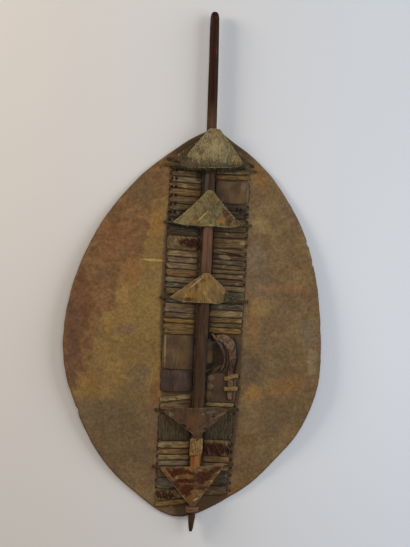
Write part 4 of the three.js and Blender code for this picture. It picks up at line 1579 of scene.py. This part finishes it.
def rolled_strip(stations, thickness, count, twist_length, depth, seed):
    """A swept strip whose upper side is parted into rolls."""
    route = round_corners(stations, radius=5, spacing=1.5)
    columns = 16
    plain = strip(route, thickness, columns, curl=-0.3, relief=0.25, seed=seed)
    upper = columns + 1
    points = plain.points.reshape(len(route), 2 * upper, 3)
    middle = points.mean(axis=1, keepdims=True)
    ridge = columns // 2
    up = unit(points[:, [ridge]] - points[:, [-1 - ridge]])
    steps = np.concatenate([[0], np.cumsum(np.linalg.norm(np.diff(middle[:, 0], axis=0), axis=1))])
    share = np.sin(np.linspace(-1, 1, upper) * math.pi / 2)
    along, across = np.meshgrid(steps, share, indexing="ij")
    swell = rolls(count, twist_length, depth)(along, across) * (1 - across**6)
    points[:, :upper] += up * swell[..., None]
    return Shell(points.reshape(-1, 3), plain.faces, plain.edge)


roll_twist = 45
roll_depth = 1.1
loop_shells = []
for number, (stations, thickness, count, finish) in enumerate((
        (strap_route, 2.9, 3, 0), (strand_route, 2.7, 1, 1), (edge_route, 2.2, 1, 2))):
    shell = rolled_strip(stations, thickness, count, roll_twist, roll_depth, 95 + number)
    shell.finish = [finish] * len(shell.faces)
    loop_shells.append(shell)
make_piece("hand_loop_piece", join_shells(loop_shells), loop_materials, ["hand_loop"])

tie_over = lace_top + layer_gap + loop_thickness + layer_gap + lace_thickness / 2
for number, (name, y) in enumerate(tie_heights.items()):
    tilt = 0.5 if number else 3
    stations = [
        (tie_inner - tie_tail, y, front_layer), (tie_inner, y, front_layer),
        (tie_inner - 1, y - tilt, tie_over - 2), (tie_inner + 3, y - tilt, tie_over),
        (tie_outer - 6, y + tilt, tie_over + 0.5), (tie_outer - 1, y + tilt, tie_over - 3),
        (tie_outer, y, front_layer), (tie_outer + tie_tail, y, front_layer),
    ]
    stations = [(*station, tie_width - 0.5, 0, 1, 0) for station in stations]
    route = round_corners(stations, radius=2.5, spacing=1.5)
    shell = strip(route, lace_thickness, ragged=0.4, curl=-0.3, relief=0.2, seed=97 + number)
    make_piece(name + "_piece", shell, [tie_material], [name])
print("hand loop and ties done")

# %% [markdown]
# ## Bindings on the stick
# A sleeve of pale hide is drawn over the stick above the lowest tab, with a notch at its top, and a
# twisted thong is knotted round the stick under that tab. Both are saddles that open below, where
# the stick lies on the hide.

# %% Bindings
band_opening = math.radians(50)
band_steps = 40
notch_reach = 0.55
jag_depth = 0.8
fold_depth = 0.35


def saddle(from_y, to_y, thickness, rows, notch, slant, turns, depth):
    """A band over the stick. notch cuts a V in its top edge and turns winds grooves round it."""
    angles = np.linspace(band_opening - math.pi / 2, 1.5 * math.pi - band_opening, band_steps)
    share = np.linspace(0, 1, rows)
    turned, along = np.meshgrid(angles, share, indexing="ij")
    over = np.sin(turned)
    jag = jag_depth * wander_over(turned * 4, along * 0, 1, 98)
    top_edge = to_y - notch * np.maximum(0, 1 - np.abs(turned - math.pi / 2) / notch_reach)
    top_edge = top_edge + jag
    low_edge = from_y + slant * np.cos(turned)
    y = low_edge + (top_edge - low_edge) * along
    groove = depth * np.abs(np.sin(math.pi * (turns * along + 0.12 * turned)))
    fold = fold_depth * wander_over(turned * 3, y / 3, 1, 99)
    inner = stick_radius + layer_gap
    outer = inner + thickness * (0.55 + 0.45 * np.minimum(1, 6 * np.minimum(along, 1 - along)))
    outer = outer + groove - depth * 0.7 + fold * (over > -0.4)
    shells = []
    for radius in (outer, np.full_like(outer, inner)):
        x = stick_centre(y) + radius * np.cos(turned)
        shells.append(np.stack([x, y, stick_height + radius * np.sin(turned)], axis=2))
    ring = np.concatenate([shells[0], shells[1][:, ::-1]], axis=1)
    around = 2 * rows
    edge = np.minimum(y - low_edge, top_edge - y)
    ring_edge = np.concatenate([edge, edge[:, ::-1]], axis=1)
    shell = Shell(ring.reshape(-1, 3), strip_faces(len(angles), around), ring_edge.ravel())
    shell.upper = np.arange(len(shell.points)) % around < rows
    return shell


sleeve_shell = saddle(-327, -297, thickness=2.0, rows=18, notch=5, slant=2.0, turns=0, depth=0)
surfaces["sleeve"] = sleeve_shell
make_piece("sleeve_piece", sleeve_shell, [sleeve_material], ["sleeve"])
knot_shell = saddle(-429, -418, thickness=2.2, rows=18, notch=0, slant=1.0, turns=2.5, depth=0.8)
make_piece("knot_piece", knot_shell, [knot_material], ["knot"])
print("sleeve and knot done")

# %% [markdown]
# ## Loose hair
# Short hair still stands on the two upper tabs, thickest along the hem of the top one, on the dark
# patches, at the blunt corner of the third tab, on the sleeve and down the edge of the right column.
# A particle system would be lost on export, so each hair is a thin bent spike of its own, and a
# seeded generator places them.

# %% Hair
hair_width = 0.5
hair_sway = 0.5
hair_spread = 0.45
root_scatter = 0.8


def spikes(roots, directions, lengths, width, bend, rng):
    """One shell of thin three-sided spikes that start at the roots and bend."""
    count = len(roots)
    directions = unit(directions)
    sideways = unit(np.cross(directions, (0, 0, 1)))
    upward = unit(np.cross(sideways, directions))
    sway = bend * (rng.random((count, 1)) - 0.5) * sideways
    points = []
    for share, size in ((0, 1), (0.5, 0.75)):
        centre = roots + lengths[:, None] * share * (directions + sway * share)
        for turn in (0, 2 * math.pi / 3, 4 * math.pi / 3):
            offset = sideways * math.cos(turn) + upward * math.sin(turn)
            points.append(centre + offset * width * size / 2)
    points.append(roots + lengths[:, None] * (directions + sway))
    points = np.stack(points, axis=1).reshape(-1, 3)
    faces = []
    for hair in range(count):
        base = hair * 7
        faces.append((base, base + 1, base + 2))
        for side in range(3):
            after = (side + 1) % 3
            faces.append((base + after, base + side, base + side + 3, base + after + 3))
            faces.append((base + after + 3, base + side + 3, base + 6))
    return Shell(points, faces)


def hair_material(name, light, dark, seed):
    """Dull hair between two tones."""
    hair = Finish(name, specular=0.08)
    colour = hair.two_tones(hair.lumps(2.5, seed=seed), dark, light)
    return hair.done(colour, 0.6, hair.lumps(0.8, stretch=(1, 4, 1), seed=seed + 1), 0.2)


hair_tones = {
    "fringe_hair": ("4e4732", "211c13"),
    "coat_hair": ("988d6c", "645a40"),
    "olive_hair": ("6a6449", "363222"),
    "red_hair": ("40241a", "26150f"),
    "grey_hair": ("6a624a", "332e22"),
    "straw_hair": ("a08a58", "6e5a34"),
}
hair_materials = {name: hair_material(name, *paints, 350 + 3 * number)
                  for number, (name, paints) in enumerate(hair_tones.items())}
# name, surface, centre, reach, direction, length, count, material, slot
hair_tufts = [
    ("coat_light", "tab_1", (28, 226), (46, 32), (0.1, -1, 0.1), 6, 1000, "coat_hair", "tab_hide"),
    ("coat_dark", "tab_1", (22, 222), (60, 36), (0.05, -1, 0.1), 5, 350, "fringe_hair", "tab_hide"),
    ("fringe_corner", "tab_1", (-22, 194), (18, 13), (0, -1, -0.2), 8, 450, "fringe_hair", "tab_hide"),
    ("fringe", "tab_1", (22, 192), (60, 7), (0, -1, -0.3), 11, 1400, "fringe_hair", "tab_hide"),
    ("coat_grey", "tab_2", (18, 112), (60, 34), (0.6, -1, 0.1), 4.5, 900, "olive_hair", "tab_hide"),
    ("tuft", "tab_3", (62, -45), (10, 8), (1, 0.35, 0.15), 7, 200, "grey_hair", "tab_hide"),
    ("patch_hair_upper", "patch_left_1", (-13, 50), (17, 9), (0.6, -1, 0.12), 7, 110,
     "red_hair", "hair_hide"),
    ("patch_hair_right", "patch_right_1", (49, -317), (27, 10), (0.15, 1, 0.12), 9, 180,
     "red_hair", "hair_hide"),
    ("patch_hair_lower", "patch_left_2", (-33, -402), (23, 8), (0.2, 1, 0.1), 7, 130,
     "red_hair", "hair_hide"),
    ("column_hair", "panel_right_3", (78, -276), (7, 26), (0.5, 1, 0.3), 6, 150,
     "grey_hair", "panel_hide"),
    ("sleeve_hair", "sleeve", (13, -312), (12, 12), (0.3, 1, 0.05), 6, 200, "straw_hair", "pale_hide"),
]
rng = np.random.default_rng(11)
for name, surface, centre, reach, direction, length, count, material, slot in hair_tufts:
    x, y, z = surfaces[surface].points.T
    near = (np.abs(x - centre[0]) < reach[0]) & (np.abs(y - centre[1]) < reach[1])
    picked = rng.choice(np.flatnonzero(near & surfaces[surface].upper & (z > back_layer)), count)
    scatter = rng.uniform(-root_scatter, root_scatter, (count, 3)) * (1, 1, 0.1)
    roots = surfaces[surface].points[picked] + scatter
    directions = np.array(direction) + hair_spread * (rng.random((count, 3)) - 0.5) * (1, 1, 0.5)
    lengths = length * (0.5 + 0.7 * rng.random(count))
    shell = spikes(roots, directions, lengths, hair_width, hair_sway, rng)
    make_piece(name, shell, [hair_materials[material]])
print("hair done:", sum(tuft[6] for tuft in hair_tufts), "hairs")

# %% [markdown]
# ## Floor
# The shield lies on a plain pale sheet, painted a little warmer on the left and cooler on the right
# after the lamps, with painted shade at the top right. One large face just below the ground is
# enough, with a grain too fine to draw the eye.

# %% Floor
floor_half = 6
floor_level = -0.0003
floor_paint = Finish("floor_paint", specular=0.1)
grain = floor_paint.lumps(3, seed=60)
# a warm tint on the left and a cool one on the right, painted after the lamps
lamp_tint_share = floor_paint.between(floor_paint.axis("X"), -0.35, 0.4)
floor_colour = floor_paint.mix(lamp_tint_share, tone("b8b2ac"), tone("bcbfc4"))
floor_colour = floor_paint.over(floor_colour, grain, "9a9a9a", 0.04)
# painted shade at the top right
painted_shade_top_right = floor_paint.spot((420, 520), (420, 380), ragged=0.1, grain=200, soft=1.0, seed=61)
floor_colour = floor_paint.over(floor_colour, painted_shade_top_right, "a4a7ab", 0.5)
floor_paint.done(floor_colour, 0.8, grain, 0.02)
floor_mesh = bpy.data.meshes.new("floor")
corners = [(x * floor_half, y * floor_half, floor_level)
           for x, y in ((-1, -1), (1, -1), (1, 1), (-1, 1))]
floor_mesh.from_pydata(corners, [], [(0, 1, 2, 3)])
floor_mesh.materials.append(floor_paint.material)
floor = bpy.data.objects.new("floor", floor_mesh)
bpy.context.scene.collection.objects.link(floor)
print("floor of", 2 * floor_half, "m")

# %% [markdown]
# ## Lamps and sky
# Two soft lamps stand low on both sides, a warm one on the left and a broader cool one on the
# right, so each casts a tinted shadow on the far side and the lacing shows its relief. A single
# lamp above would flatten it, so the one there is weak, and a pale sky fills the rest.

# %% Lamps and sky
lamps = [
    # name, place, size in metres, watts, colour
    ("warm_lamp", (-2.0, 1.0, 0.85), 0.9, 57, (1.0, 0.9, 0.78)),
    ("cool_lamp", (2.1, 0.6, 0.8), 2.3, 88, (0.88, 0.94, 1.0)),
    ("top_lamp", (0.3, 0.3, 2.4), 1.2, 15, (1.0, 0.96, 0.9)),
]
for name, place, size, watts, colour in lamps:
    data = bpy.data.lights.new(name, "AREA")
    data.size = size
    data.energy = watts
    data.color = colour
    lamp = bpy.data.objects.new(name, data)
    lamp.location = place
    lamp.rotation_euler = Vector(place).to_track_quat("Z", "Y").to_euler()
    bpy.context.scene.collection.objects.link(lamp)

sky = bpy.data.worlds.new("sky")
sky.use_nodes = True
sky.node_tree.nodes["Background"].inputs["Color"].default_value = (0.97, 0.97, 1.0, 1)
sky.node_tree.nodes["Background"].inputs["Strength"].default_value = 0.3
bpy.context.scene.world = sky
print(len(lamps), "lamps")
